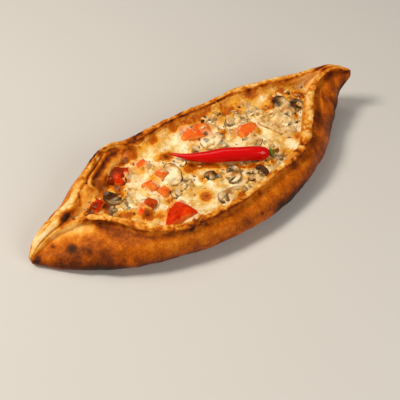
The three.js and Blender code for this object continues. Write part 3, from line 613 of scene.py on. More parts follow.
def slab(outline, thickness, sides, flatness):
    """Rounded slab: share of the outline to the power of flatness, plus (twice the level) squared, is one."""
    rise = 0.5 * (1 - RING_SHARES**flatness) ** 0.5
    shares = np.concatenate([RING_SHARES, [1], RING_SHARES[::-1]])
    levels = np.concatenate([-rise, [0], rise[::-1]])
    angle = ring_angles(sides)
    reach = outline(angle)
    flat = np.stack([np.cos(angle) * reach, np.sin(angle) * reach], -1)
    points = np.concatenate([
        shares[:, None, None] * flat[None],
        np.broadcast_to((levels * thickness)[:, None, None], (len(shares), sides, 1)),
    ], -1)
    return points, np.broadcast_to(shares[:, None], points.shape[:2])


def turned(turn, tilt_x, tilt_y):
    """Rotation matrix in degrees: about X, then about Y, then about Z."""
    angles = np.radians([turn, tilt_y, tilt_x])
    (cz, cy, cx), (sz, sy, sx) = np.cos(angles), np.sin(angles)
    about_x = np.array([[1, 0, 0], [0, cx, -sx], [0, sx, cx]])
    about_y = np.array([[cy, 0, sy], [0, 1, 0], [-sy, 0, cy]])
    about_z = np.array([[cz, -sz, 0], [sz, cz, 0], [0, 0, 1]])
    return about_z @ about_y @ about_x


laid_pieces = []  # what lies in the cheese: kind, place, matrix, outline, thickness and covered share of each


def lay(kind, covered, outline, points, thickness, x, y, lift, turn, tilt_x, tilt_y):
    """The points of a topping, turned, tilted and set down on the cheese."""
    matrix = turned(turn, tilt_x, tilt_y)
    place = np.array([x, y, float(cheese_height(np.array(x, dtype=float), y)) + lift])
    laid_pieces.append((kind, place, matrix, outline, thickness, covered))
    return points @ matrix.T + place


# Corners in plan, height of the middle above the cheese, thickness, tilts about X and Y, how far it is
# browned, how far its red has faded to orange, and how much of it the cheese covers.
TOMATOES = {
    "tomato_left": ([(-79, 33), (-65, 42), (-55, 33), (-68, 20)], 1.2, 10, 12, -6, 1.4, 0.1, -0.1),
    "tomato_corner": ([(-104, 18), (-95, 24), (-91, 15), (-100, 10)], 0.4, 8, 6, -6, 1.6, 0.0, 0.05),
    "tomato_near": ([(-44.5, -17.5), (-36.5, -38), (-72, -37.5), (-57, -21.5)], 1.8, 10, -4, 5, 0, 0, 0),
    "tomato_browned": ([(-78, -9), (-61, 0), (-56, -8), (-72, -18)], 0, 8, 6, 0, 0.75, 0.5, 0.1),
    "tomato_far": ([(4, 52), (30, 36), (23, 24), (-2, 33)], 0, 8, 8, 0, 0.15, 0.8, 0.3),
    "tomato_right": ([(39, 18), (62, 14), (57, 5), (41, 4)], 0.8, 8, 8, 2, 0.3, 0.9, 0.3),
    "tomato_bit_1": ([(-48, 35), (-40, 36), (-39, 28), (-47, 28)], 0.6, 7, 6, 0, 0.2, 0.8, 0.2),
    "tomato_bit_2": ([(-42, 18), (-34, 18), (-32, 10), (-40, 9)], 0.2, 7, 0, 6, 0.4, 0.7, 0.3),
    "tomato_bit_3": ([(-58, 14), (-47, 14), (-48, 3), (-56, 4)], 0.2, 7, 4, 0, 0.3, 0.8, 0.25),
    "tomato_bit_4": ([(-51, 2), (-43, 2), (-42, -7), (-50, -8)], 0.2, 7, 4, 4, 0.45, 0.8, 0.3),
}

# Roasted tomato: wet red skin over orange-red flesh, with brown scorched patches on the pieces that stood
# high.
tomato_flesh, tree = new_material("roasted_tomato")
coords = add_node(tree, "TexCoord").outputs["Object"]
cut = add_node(tree, "Attribute", attribute_name="cut")
scorch = add_node(tree, "Attribute", attribute_name="scorch")
streak = add_node(tree, "TexNoise", {"Vector": coords, "Scale": 330.0, "Detail": 4.0, "Roughness": 0.6})
wet = add_node(tree, "TexNoise", {"Vector": coords, "Scale": 150.0, "Detail": 2.0})
patchy = add_node(tree, "Math", {0: streak, 1: 0.6, 2: cut}, operation="MULTIPLY_ADD")
red = add_node(tree, "ValToRGB", {"Fac": patchy}, [(0.15, "#b01200"), (0.45, "#e63c02"), (0.95, "#ea842e")])
browned = add_node(tree, "Math", {0: scorch, 1: streak}, operation="MULTIPLY")
toasted = add_node(tree, "MapRange", {"Value": browned, "From Min": 0.12, "From Max": 0.45})
mixed = add_node(tree, "Mix", {0: toasted, 6: red, 7: linear("#7c2404")}, data_type="RGBA")
sheen = add_node(tree, "MapRange", {
    "Value": wet, "From Min": 0.35, "From Max": 0.65, "To Min": 0.16, "To Max": 0.4,
})
bump = add_node(tree, "Bump", {"Height": streak, "Strength": 0.5, "Distance": 0.0006})
shader = add_node(tree, "BsdfPrincipled", {
    "Base Color": mixed, "Roughness": sheen, "Normal": bump,
    "Specular IOR Level": 0.3, "Specular Tint": linear("#ffc090"), "IOR": 1.38,
})
add_node(tree, "OutputMaterial", {"Surface": shader})

for number, (name, row) in enumerate(TOMATOES.items()):
    corners, lift, height, tilt_x, tilt_y, browning, faded, covered = row
    outline = polygon_outline(corners)
    points, shares = slab(outline, height, sides=96, flatness=8)
    # The middle bulges and the corners droop, as the skin does in the heat.
    points[..., 2] += 0.07 * height * (1 - (points[..., 0] ** 2 + points[..., 1] ** 2) / 60)
    x, y = np.mean(corners, axis=0)
    points = lay("tomato", covered, outline, points, height, x, y, lift, 0, tilt_x, tilt_y)
    points = raised(points, noise(points, (0.5, 6, 40 + number), (0.3, 2.4, 60 + number)))
    mesh = loops_mesh(name, points)
    side = smooth_step(0.8, 0.97, shares) + noise(points, (0.25, 4, 80 + number))
    set_attribute(mesh, "cut", 0.45 * side + 0.45 * faded + noise(points, (0.15, 7, 90 + number)))
    set_attribute(mesh, "scorch", browning * (0.55 + noise(points, (0.9, 5, 100 + number))))
    mesh.materials.append(tomato_flesh)
    add_piece(mesh, "tomato", name)


# ---- Mushroom slices ----
# Button mushroom, cut lengthwise through cap and stem into slices 4 mm thick, which curled a little in the
# oven. Each shows the brown skin round its dome, pale flesh, and the dark gills in two hollows beside the
# stem.
def mushroom_outline(cap, dome, hem, stem, stem_length):
    """Reach at an angle: half an ellipse for the dome, a flatter one for the hem, a stem between hollows."""

    def reach(angle):
        across, down = np.cos(angle), np.sin(angle)
        depth, power = np.where(down > 0, dome, hem), np.where(down > 0, 2.3, 3.2)
        cap_reach = (np.abs(2 * across / cap) ** power + np.abs(down / depth) ** power) ** (-1 / power)
        hollow = 1 - 0.28 * bell(np.abs(across), 0.55, 0.16)
        side_reach = stem / 2 / np.maximum(np.abs(across), 1e-6)
        foot_reach = stem_length / np.maximum(-down, 1e-6)
        stem_reach = (side_reach**-5.0 + foot_reach**-5.0) ** -0.2
        lower = ((cap_reach * hollow) ** 6 + stem_reach**6) ** (1 / 6)
        return np.where(down >= 0, cap_reach, lower)

    return reach


# Place of the cap in plan, lift above the cheese, turn about Z, tilts about X and Y, width of the cap, height
# of the dome, depth of the hem, width and length of the stem, thickness and bend; last, how dark the gills
# are, how much of the slice the cheese covers and how far the flesh browned.
MUSHROOMS = {
    "mushroom_standing": (91, 11, 2.6, -88, 10, 20, 27, 9, 4.5, 8, 9, 4, 1.8, 0.95, 0.0, 0.15),
    "mushroom_behind": (104, 9, 1.6, -74, 20, 0, 13, 5, 4, 5, 5, 3.4, 1, 1.2, 0.0, 1.0),
    "mushroom_long": (77, -12, 1, -158, -4, 4, 14, 7, 6, 10, 29, 4, 0.8, 0.5, 0.1, 0.12),
    "mushroom_middle": (17, 15, 1.5, 119, 3, 4, 24, 8, 6, 9, 17, 4, 1.4, 0.7, -0.2, 0.0),
    "mushroom_by_tomato": (46, -1, 0.9, -62, 6, 0, 18, 7.5, 5, 7, 7, 3.8, 1.2, 0.8, 0.15, 0.15),
    "mushroom_near": (-6, -39, 2, -12, 10, 2, 26, 6.5, 6, 8, 7, 4.2, 1.4, 0.8, 0.1, 0.2),
    "mushroom_round": (-31, 8, 1.3, -110, 4, 2, 25, 8, 6, 9, 8, 4, 1.4, 0.4, 0.2, 0.0),
    "mushroom_left": (-82, 16, 1.4, 100, 8, 4, 19, 7.5, 5, 7, 7, 4.2, 1.2, 1.1, -0.3, 0.95),
    "mushroom_pale": (51, 26, 0.6, -10, 6, 0, 21, 7, 4.5, 7, 6, 3.8, 1, 0.7, 0.3, 0.0),
    "mushroom_under_tip": (3, 19, 0.9, 30, 12, 0, 11, 4.5, 3, 4, 4, 3.4, 0.7, 1.3, 0.0, 0.3),
    "mushroom_gill_1": (-6, -13, 1, -30, 20, 8, 14, 5, 4, 5, 5, 3.6, 0.8, 1.3, -0.1, 0.7),
    "mushroom_gill_2": (8, -22, 1.2, -120, 10, -4, 20, 7, 5, 6, 7, 4, 1.2, 1.3, 0.08, 0.1),
    "mushroom_gill_3": (29, -34, 1.4, -96, 16, 0, 15, 4.5, 3.5, 5, 4, 3.6, 0.8, 1.3, -1.0, 1.3),
    "mushroom_gill_4": (-39, -11, 0.8, 20, 10, 6, 13, 5.5, 4, 5, 5, 3.6, 0.8, 1.3, 0.1, 0.25),
    "mushroom_corner": (-90, 4, 0.8, 60, 10, 0, 13, 4.5, 3.5, 5, 4, 3.6, 0.8, 1.2, 0.1, 0.9),
    "mushroom_far": (36, 40, 0.8, -20, 8, 0, 14, 5, 3.5, 5, 4, 3.6, 0.8, 1.0, 0.25, 0.3),
}
# Places where the slices and the cheese about them dried and browned, or stayed pale: middle, radius and
# change.
DRIED = [
    (88.5, 21, 32, 4.5, 0.95), (98, 9, 29, 3.0, 0.8), (102, 9, 28, 3.0, 0.6), (12, -15, 27.5, 2.8, 0.8),
    (95, 0, 26.5, 3.2, 1.0), (95, 21, 33.5, 3.0, 0.8), (103, 28, 29, 4.0, 0.5), (93, -2, 27, 3.0, 0.6),
    (81, 21, 27, 4.0, 0.6), (66, -31, 26, 3.0, 0.55), (30, 20, 26.5, 3.0, 0.6), (55, 3.5, 26, 3.0, 1.0),
    (59, 30, 29, 3.0, 0.55), (42, -31, 28.5, 3.4, 0.5), (-3, -12.5, 28, 3.0, 0.6), (-1, -44, 29, 3.0, 0.75),
    (55, -19.5, 26, 3.0, 0.55), (29, -23, 26, 2.6, 0.75), (-2, 19, 27, 2.6, 0.6), (78, 5, 25, 3.0, 0.6),
    (37, 33, 26, 3.4, 0.4), (-7, -18, 26, 2.6, 0.5), (24, -25, 26, 3.0, 0.5), (-20, -43, 26, 3.4, 0.8),
    (-39, -42, 26.5, 3.0, 0.6), (81, -20, 27, 4.0, 0.9), (-37, -15, 26.5, 2.6, 0.45), (48, 35, 29, 5.0, 0.4),
    (58, 33, 29, 5.0, 0.45), (67, 32, 28, 5.0, 0.3), (84, 27, 28, 5.0, 0.3), (3, -26, 27, 2.6, -0.5),
    (3.6, -31, 27, 2.6, -0.5), (-88.6, 7, 26, 3.0, -0.6), (-9.4, -11, 28, 2.4, -0.5), (8, 4, 26, 4.0, -0.2),
    (90, 5, 27, 4.0, -0.8), (15, 19, 27, 9.0, -0.9), (-33, 6, 26, 7.0, -0.9), (11.5, -22, 28, 2.6, 0.6),
    (75, 12, 27, 4.0, -0.4), (-29, -1, 27, 2.6, 0.7), (17, -37.5, 27, 3.0, -0.9), (-40, -6, 28, 3.0, 0.6),
    (-14, -13, 26, 3.0, 0.5), (-75, 14, 27, 3.0, 0.6), (-51, 23, 25, 3.0, 0.3), (-32, 19, 26, 3.0, 0.5),
    (-58, 3.5, 25.5, 2.6, 0.6), (29, -22, 26, 2.6, 0.5), (52, -31, 25, 3.0, -0.6), (106, 4, 30, 3.0, -0.7),
    (-85, 9, 28, 2.6, -0.5), (25, 40, 28, 3.0, -0.4), (-43, -14, 28, 3.0, -0.7), (-8, -12.5, 27, 2.4, -0.5),
    (31, 21, 26, 3.0, 0.5), (3, -26, 27, 3.0, -0.4),
]
GILL_PITCH = 1.9  # mm; real blades stand closer, but at this size they show

# Baked mushroom: matt buff flesh with a fine grain, browner where it dried, dark brown skin and black-brown
# gills.
mushroom_flesh, tree = new_material("baked_mushroom")
coords = add_node(tree, "TexCoord").outputs["Object"]
skin = add_node(tree, "Attribute", attribute_name="skin")
gill = add_node(tree, "Attribute", attribute_name="gill")
grain = add_node(tree, "TexNoise", {"Vector": coords, "Scale": 520.0, "Detail": 4.0, "Roughness": 0.65})
stain = add_node(tree, "TexNoise", {"Vector": coords, "Scale": 150.0, "Detail": 3.0})
stay_pale = add_node(tree, "Math", {0: skin, 1: 0.0}, operation="MINIMUM")
fleck = add_node(tree, "Math", {0: grain, 1: 0.4, 2: -0.2}, operation="MULTIPLY_ADD")
flecked = add_node(tree, "Math", {0: stain, 1: fleck}, operation="ADD")
dried = add_node(tree, "Math", {0: stay_pale, 1: -0.3, 2: flecked}, operation="MULTIPLY_ADD")
flesh = add_node(tree, "ValToRGB", {"Fac": dried}, [(0.34, "#b4763a"), (0.48, "#e8ba72"), (0.66, "#fce6b8")])
rind = add_node(tree, "Mix", {0: skin, 6: flesh, 7: linear("#4a220a")}, data_type="RGBA")
rough_gill = add_node(tree, "MapRange", {
    "Value": grain, "From Min": 0.3, "From Max": 0.7, "To Min": 0.5, "To Max": 1.3,
})
gill_share = add_node(tree, "Math", {0: gill, 1: rough_gill}, operation="MULTIPLY", use_clamp=True)
coloured = add_node(tree, "Mix", {0: gill_share, 6: rind, 7: linear("#22140a")}, data_type="RGBA")
bump = add_node(tree, "Bump", {"Height": grain, "Strength": 0.6, "Distance": 0.0005})
shader = add_node(tree, "BsdfPrincipled", {
    "Base Color": coloured, "Roughness": 0.42, "Normal": bump, "IOR": 1.4,
    "Specular IOR Level": 0.36, "Specular Tint": linear("#ffdca4"),
    "Subsurface Weight": 0.08, "Subsurface Radius": (1.0, 0.6, 0.3), "Subsurface Scale": 0.0015,
})
add_node(tree, "OutputMaterial", {"Surface": shader})

for number, (name, row) in enumerate(MUSHROOMS.items()):
    x, y, lift, turn, tilt_x, tilt_y, cap, dome, hem, stem, stem_length = row[:11]
    thickness, bend, darkness, covered, browned = row[11:]
    outline = mushroom_outline(cap, dome, hem, stem, stem_length)
    points, shares = slab(outline, thickness, sides=120, flatness=6)
    across, down = points[..., 0], points[..., 1]
    # The gills fill the two hollows beside the stem, up to an arch under the dome, as dark upright blades
    # with paler gaps between them.
    arch = dome * (0.5 - 1.1 * (across / (cap / 2)) ** 2) + noise(points, (0.8, 3, 110 + number))
    hollow = smooth_step(0.38 * stem, 0.56 * stem, np.abs(across)) * smooth_step(0.5, -0.8, down - arch)
    hollow = hollow * (1 - smooth_step(0.42 * cap, 0.47 * cap, np.abs(across)))
    blade = 0.5 + 0.5 * np.sin(2 * np.pi * (across + 0.16 * down * np.sign(across)) / GILL_PITCH)
    points[..., 2] += bend * ((across / (cap / 2)) ** 2 - 0.4 + 0.3 * down / (cap / 2))
    points[..., 2] -= np.where(points[..., 2] > 0, hollow * (0.5 + 0.5 * blade), 0)
    rind_share = smooth_step(0.87, 0.95, shares) * smooth_step(-1.1 * hem, -0.5 * hem, down)
    points = lay("mushroom", covered, outline, points, thickness, x, y, lift, turn, tilt_x, tilt_y)
    points = raised(points, noise(points, (0.35, 5, 120 + number), (0.18, 1.8, 140 + number)))
    mesh = loops_mesh(name, points)
    rind_share = rind_share * (0.85 + noise(points, (0.4, 4, 160 + number)))
    rind_share = np.maximum(rind_share, browned * (1 + noise(points, (0.6, 4.5, 170 + number))))
    set_attribute(mesh, "skin", np.clip(rind_share + spots(points, DRIED), -1, 1))
    shade = (0.62 + 0.38 * blade) * (0.95 + noise(points, (0.5, 3, 180 + number)))
    set_attribute(mesh, "gill", darkness * hollow * shade)
    mesh.materials.append(mushroom_flesh)
    add_piece(mesh, "mushroom", name)


# Broken slices lie in heaps between the whole ones: the middle, the reach and the density of each heap.
CHOPPED = [
    (98, 4, 20, 0.8), (50, 32, 22, 1.0), (74, 22, 14, 0.5), (30, -30, 16, 1.0), (4, -14, 14, 0.5),
    (50, -30, 12, 0.9), (16, 44, 14, 0.7), (-28, -8, 10, 0.6), (-84, 6, 14, 1.0), (-60, -4, 12, 0.4),
    (-14, 16, 10, 0.4), (100, 22, 14, 0.8), (10, -38, 12, 0.5), (-40, 24, 14, 0.3), (120, 10, 12, 0.5),
]


def chopped_share(x, y):
    """How much chopped mushroom lies here: the largest of the bells about its heaps."""
    return np.max([amount * bell(np.hypot(x - px, y - py), 0, reach) for px, py, reach, amount in CHOPPED], 0)


PIECE_REACH = 45  # mm; no piece reaches farther from its own place


def gap_to(piece, x, y):
    """Distance in plan from a laid piece's outline, negative inside it, and the place in the piece's plan."""
    _, place, matrix, outline, _, _ = piece
    offset = np.stack([x - place[0], y - place[1]], -1) @ np.linalg.inv(matrix[:2, :2]).T
    distance = np.hypot(offset[..., 0], offset[..., 1])
    beyond = distance - outline(np.arctan2(offset[..., 1], offset[..., 0]))
    return np.where(distance < PIECE_REACH, beyond, np.inf), offset


# Small broken caps, thrown at random on the heaps where no other piece lies, all in one mesh.
THROWS = 2600
rng = np.random.default_rng(301)
throws = rng.uniform((-104, -48), (130, 58), (THROWS, 2))
_, _, gap, mid = rims_at(throws[:, 0])
in_boat = np.abs(throws[:, 1] - mid) < 0.44 * gap
in_heap = rng.random(THROWS) < 0.17 * chopped_share(*throws.T) - 0.012
broken = []
for place in throws[in_boat & in_heap]:
    cap, depth, height = rng.uniform((5, 0.3, 2.2), (11, 0.55, 3.4))  # width, share of it in depth, thickness
    if min(gap_to(piece, *place)[0] for piece in laid_pieces) < 0.12 * cap:
        continue
    outline = mushroom_outline(cap, depth * cap, 0.3 * cap, 0.3 * cap, 0.36 * cap)
    points, shares = slab(outline, height, sides=40, flatness=5)
    points, shares = points[::2], shares[::2]  # every second ring is enough at this size
    across, down = points[..., 0], points[..., 1]
    hollow = smooth_step(0.1 * cap, 0.18 * cap, np.abs(across)) * smooth_step(0.4, -0.6, down - 0.12 * cap)
    rind_share = smooth_step(0.78, 0.95, shares) * smooth_step(-0.2 * cap, 0, down)
    lift, turn, tilt_x, tilt_y = rng.uniform((0.1, 0, -18, -14), (1.1, 360, 18, 14))
    covered = rng.uniform(0.15, 0.65)
    points = lay("mushroom", covered, outline, points, height, *place, lift, turn, tilt_x, tilt_y)
    points = raised(points, noise(points, (0.45, 2.4, 330)))
    darkness = max(0, rng.uniform(-0.6, 1.2)) * (1 + noise(points, (0.5, 1.8, 331)))
    broken.append((points, rind_share, hollow * darkness))
loops, rinds, gills = zip(*broken)
mesh = loops_mesh("broken_mushroom", *loops)
set_attribute(mesh, "skin", *rinds)
set_attribute(mesh, "gill", *gills)
mesh.materials.append(mushroom_flesh)
add_piece(mesh, "mushroom")


# ---- Chilli ----
# One whole fresh red chilli, laid across the filling before baking: a hollow, thin-walled pod with a waxy
# skin, and its green calyx and stalk, which were left on.
CHILLI_RADIUS = 6.1
CHILLI_PATH = [
    (-20, 24.5, 30), (-11, 13.5, 30), (0, 4, 30.5), (12, -3, 31), (24, -11, 31.5), (35, -18.5, 31.5),
    (44, -24, 31),
]
STALK_PATH = [(45.2, -24.6, 31.2), (47.4, -25.5, 31.5), (49.6, -26.2, 31.8), (52, -26.9, 32)]


def smooth_path(path, count):
    """Points at equal steps along a centripetal Catmull-Rom curve: knots spaced by the root of each chord."""
    path = np.array(path, dtype=float)
    path = np.concatenate([[2 * path[0] - path[1]], path, [2 * path[-1] - path[-2]]])
    knots = np.concatenate([[0], np.cumsum(np.linalg.norm(np.diff(path, axis=0), axis=1) ** 0.5)])
    curve = []
    for i in range(1, len(path) - 2):
        t = np.linspace(knots[i], knots[i + 1], 60)[:, None]
        k = knots[i - 1 : i + 3]
        p = path[i - 1 : i + 3]
        first = [p[j] + (p[j + 1] - p[j]) * (t - k[j]) / (k[j + 1] - k[j]) for j in range(3)]
        second = [first[j] + (first[j + 1] - first[j]) * (t - k[j]) / (k[j + 2] - k[j]) for j in range(2)]
        curve.append(second[0] + (second[1] - second[0]) * (t - k[1]) / (k[2] - k[1]))
    curve = np.concatenate([part[:-1] for part in curve[:-1]] + [curve[-1]])
    run = np.concatenate([[0], np.cumsum(np.linalg.norm(np.diff(curve, axis=0), axis=1))])
    return np.stack([np.interp(np.linspace(0, run[-1], count), run, curve[:, k]) for k in range(3)], -1)


def bar(centres, radius):
    """Round bar: rings about the centres, square to the path, with a radius for each ring and angle."""
    ahead = np.gradient(centres, axis=0)
    ahead = ahead / np.linalg.norm(ahead, axis=1, keepdims=True)
    sideways = np.cross(ahead, [0, 0, 1])
    sideways = sideways / np.linalg.norm(sideways, axis=1, keepdims=True)
    upwards = np.cross(sideways, ahead)
    angle = ring_angles(radius.shape[1])[None, :, None]
    spokes = np.cos(angle) * upwards[:, None] - np.sin(angle) * sideways[:, None]
    return centres[:, None] + radius[..., None] * spokes


PATH_POINTS = 400
share = np.concatenate([np.linspace(0, 0.9, 170), np.linspace(0.9, 1, 40)[1:]])  # closer on its shoulder
centres = smooth_path(CHILLI_PATH, PATH_POINTS)
centres = np.stack([np.interp(share, np.linspace(0, 1, PATH_POINTS), centres[:, k]) for k in range(3)], -1)
# It swells from a thin tip to its full width at 0.72 of its length, and rounds in over the last tenth.
swell = 0.16 + 0.94 * np.sin(np.minimum(1, share / 0.72) * np.pi / 2) ** 1.15
shoulder = np.sqrt(np.maximum(0.02, 1 - 0.75 * (np.maximum(0, share - 0.9) / 0.1) ** 2))
radius = CHILLI_RADIUS * np.minimum(1, swell) * shoulder
angle = ring_angles(96)
# The pod's wall is a little uneven: three shallow lobes towards the stalk, and slight bends along it.
lobes = 1 + 0.03 * smooth_step(0.3, 0.9, share)[:, None] * np.cos(3 * angle + 0.6)[None] - 0.02
waves = 1 + 0.018 * np.sin(share * 23 + 1)[:, None] * np.cos(angle - 0.8)[None]
points = bar(centres, radius[:, None] * lobes * waves)
chilli_mesh = loops_mesh("chilli_pod", points)
set_attribute(chilli_mesh, "along", np.broadcast_to(share[:, None], points.shape[:2]))
add_piece(chilli_mesh, "chilli_skin", "chilli_pod")

# Fresh chilli skin: even signal red, a touch darker to the stalk, under a clear natural wax that mirrors the
# lamp.
chilli_skin, tree = new_material("waxy_chilli_skin")
coords = add_node(tree, "TexCoord").outputs["Object"]
along_pod = add_node(tree, "Attribute", attribute_name="along")
clouds = add_node(tree, "TexNoise", {"Vector": coords, "Scale": 90.0, "Detail": 3.0})
tone = add_node(tree, "Math", {0: along_pod, 1: 0.35, 2: clouds}, operation="MULTIPLY_ADD")
reds = add_node(tree, "ValToRGB", {"Fac": tone}, [(0.4, "#d40200"), (1.0, "#cc0202")])
dimples = add_node(tree, "TexNoise", {"Vector": coords, "Scale": 240.0, "Detail": 2.0})
bump = add_node(tree, "Bump", {"Height": dimples, "Strength": 0.12, "Distance": 0.0006})
shader = add_node(tree, "BsdfPrincipled", {
    "Base Color": reds, "Roughness": 0.3, "Normal": bump, "IOR": 1.42,
    "Coat Weight": 0.45, "Coat Roughness": 0.1, "Specular IOR Level": 0.1,
})
add_node(tree, "OutputMaterial", {"Surface": shader})
chilli_mesh.materials.append(chilli_skin)

share = np.linspace(0, 1, 90)
centres = smooth_path(STALK_PATH, len(share))
angle = ring_angles(64)
# The stalk flares into the calyx where it meets the pod, and thickens a little at its cut end.
radius = 1.5 + 2.2 * bell(share, 0, 0.3) + 0.3 * smooth_step(0.85, 1, share)
# The calyx ends in five short points, and ribs run on from them up the stalk.
points_of_calyx = 1 + 0.1 * bell(share, 0.04, 0.09)[:, None] * np.cos(5 * angle)[None]
ribs = 1 + 0.06 * smooth_step(0.15, 0.4, share)[:, None] * np.cos(5 * angle)[None]
points = bar(centres, radius[:, None] * points_of_calyx * ribs - 0.12)
stalk_mesh = loops_mesh("chilli_stalk", points)
set_attribute(stalk_mesh, "along", np.broadcast_to(share[:, None], points.shape[:2]))
add_piece(stalk_mesh, "chilli_stalk", "chilli_stalk")

# Fresh chilli stalk: green and slightly woody, olive-brown where it dried at the cut end.
stalk_green, tree = new_material("green_chilli_stalk")
coords = add_node(tree, "TexCoord").outputs["Object"]
along_stalk = add_node(tree, "Attribute", attribute_name="along")
fibres = add_node(tree, "TexNoise", {"Vector": coords, "Scale": 500.0, "Detail": 3.0})
tone = add_node(tree, "Math", {0: fibres, 1: 0.4, 2: along_stalk}, operation="MULTIPLY_ADD")
greens = add_node(tree, "ValToRGB", {"Fac": tone}, [(0.2, "#5a7c10"), (0.5, "#7a600c"), (0.9, "#6e3206")])
bump = add_node(tree, "Bump", {"Height": fibres, "Strength": 0.4, "Distance": 0.0004})
shader = add_node(tree, "BsdfPrincipled", {
    "Base Color": greens, "Roughness": 0.5, "Normal": bump,
    "Specular IOR Level": 0.3,
})
add_node(tree, "OutputMaterial", {"Surface": shader})
stalk_mesh.materials.append(stalk_green)


# ---- Melted cheese ----
# Grated cheese, melted and set: one sheet that fills the boat, runs up its walls, creeps over the toppings
# and meets them in a soft fillet. It browned in round spots where it bubbled and took colour from the tomato.
CHEESE_ENDS = (-117, 137)
CHEESE_REACH = 1.04  # its width as a share of the opening
CHEESE_OVERLAP = 0.6  # mm more on either side, so that it meets the dough
CHEESE_ROWS, CHEESE_COLUMNS = 400, 190
FILM_FREEBOARD = 1.5  # how far below the crest of the rim the thin film ends
SUNK_IN_SOLE = 4  # how far its hidden lower edge goes into the dough
FILM_THICKNESS = 0.35  # mm of cheese on the toppings it crept over
FILM_SLOPE = 1.8  # mm in which that film falls away beyond a topping's edge
FILLET_HEIGHT = 0.9
FILLET_REACH = 1.3
STAIN_REACH = 4  # mm round a tomato piece that its oil colours

across = np.linspace(1, -1, CHEESE_COLUMNS)
cheese_x = np.linspace(*CHEESE_ENDS, CHEESE_ROWS)
_, _, opening, middle = rims_at(cheese_x)
half = opening / 2 * CHEESE_REACH + CHEESE_OVERLAP
x = np.broadcast_to(cheese_x[:, None], (CHEESE_ROWS, CHEESE_COLUMNS))
y = middle[:, None] + half[:, None] * across[None]
z = cheese_height(x, y)
# From the middle on, a film climbs the far wall nearly to the crest.
up_far_wall = np.where(across > 0, across, 0)[None]
z = z + 3.0 * smooth_step(-30, 20, x) * (1 - smooth_step(95, 120, x)) * up_far_wall**12
flat = np.stack([x, y, np.zeros_like(x)], -1)
lumps = noise(flat, (0.7, 10, 200), (0.5, 5, 201), (0.16, 2.6, 202))
shreds = 0.25 * smooth_step(0.3, 0.02, np.abs(noise(flat * (1, 1.6, 1), (1, 6, 210))))
creep = noise(flat, (1, 7, 203), (0.4, 3, 204))

tomato_stain, film_on_tomato, film_on_mushroom = np.zeros((3, CHEESE_ROWS, CHEESE_COLUMNS))
for piece in laid_pieces:
    kind, place, matrix, _, thickness, covered = piece
    beyond, offset = gap_to(piece, x, y)
    outside = np.maximum(beyond, 0)
    top = place[2] + matrix[2, 0] * offset[..., 0] + matrix[2, 1] * offset[..., 1] + thickness / 2
    cover = smooth_step(0.35 - covered, 0.6 - covered, creep)
    rise = np.maximum(top + FILM_THICKNESS - z, 0) * cover * np.exp(-outside / FILM_SLOPE)
    fillet = FILLET_HEIGHT * np.exp(-np.abs(beyond) / FILLET_REACH)
    z = z + np.maximum(rise, fillet * (1 - cover))
    film = smooth_step(1.2, -1.2, beyond) * cover
    if kind == "tomato":
        tomato_stain = np.maximum(tomato_stain, bell(outside, 0, STAIN_REACH))
        film_on_tomato = np.maximum(film_on_tomato, film)
    else:
        film_on_mushroom = np.maximum(film_on_mushroom, film)

# Under the heaps, bits of mushroom show through the cheese as buff lumps and dark specks.
chopped = chopped_share(x, y)
chunks = smooth_step(0.28, 0.6, noise(flat, (1, 4.6, 211), (0.45, 2.1, 212)) + 0.6 * chopped - 0.15)
chunks = chunks * smooth_step(0.15, 0.5, chopped) * (1 - film_on_tomato)
specks = smooth_step(0.56, 0.76, noise(flat, (1, 2.3, 213), (0.3, 1.2, 214)) + 0.35 * chopped)
specks = specks * smooth_step(0.1, 0.5, chopped)
rim_z = np.where(across[None] > 0, along("far_rim_z", x), along("near_rim_z", x))
z = np.minimum(z + lumps + shreds + 0.7 * chunks - 0.3 * specks, rim_z - FILM_FREEBOARD)
bottom = BASE_THICKNESS + along("keel_z", cheese_x) - SUNK_IN_SOLE
low = [np.stack([cheese_x, middle + side * 0.8 * half, bottom], -1) for side in (-1, 1)]
cheese = np.concatenate([low[0][:, None], low[1][:, None], np.stack([x, y, z], -1)], axis=1)
cheese_mesh = loops_mesh("melted_cheese", cheese)

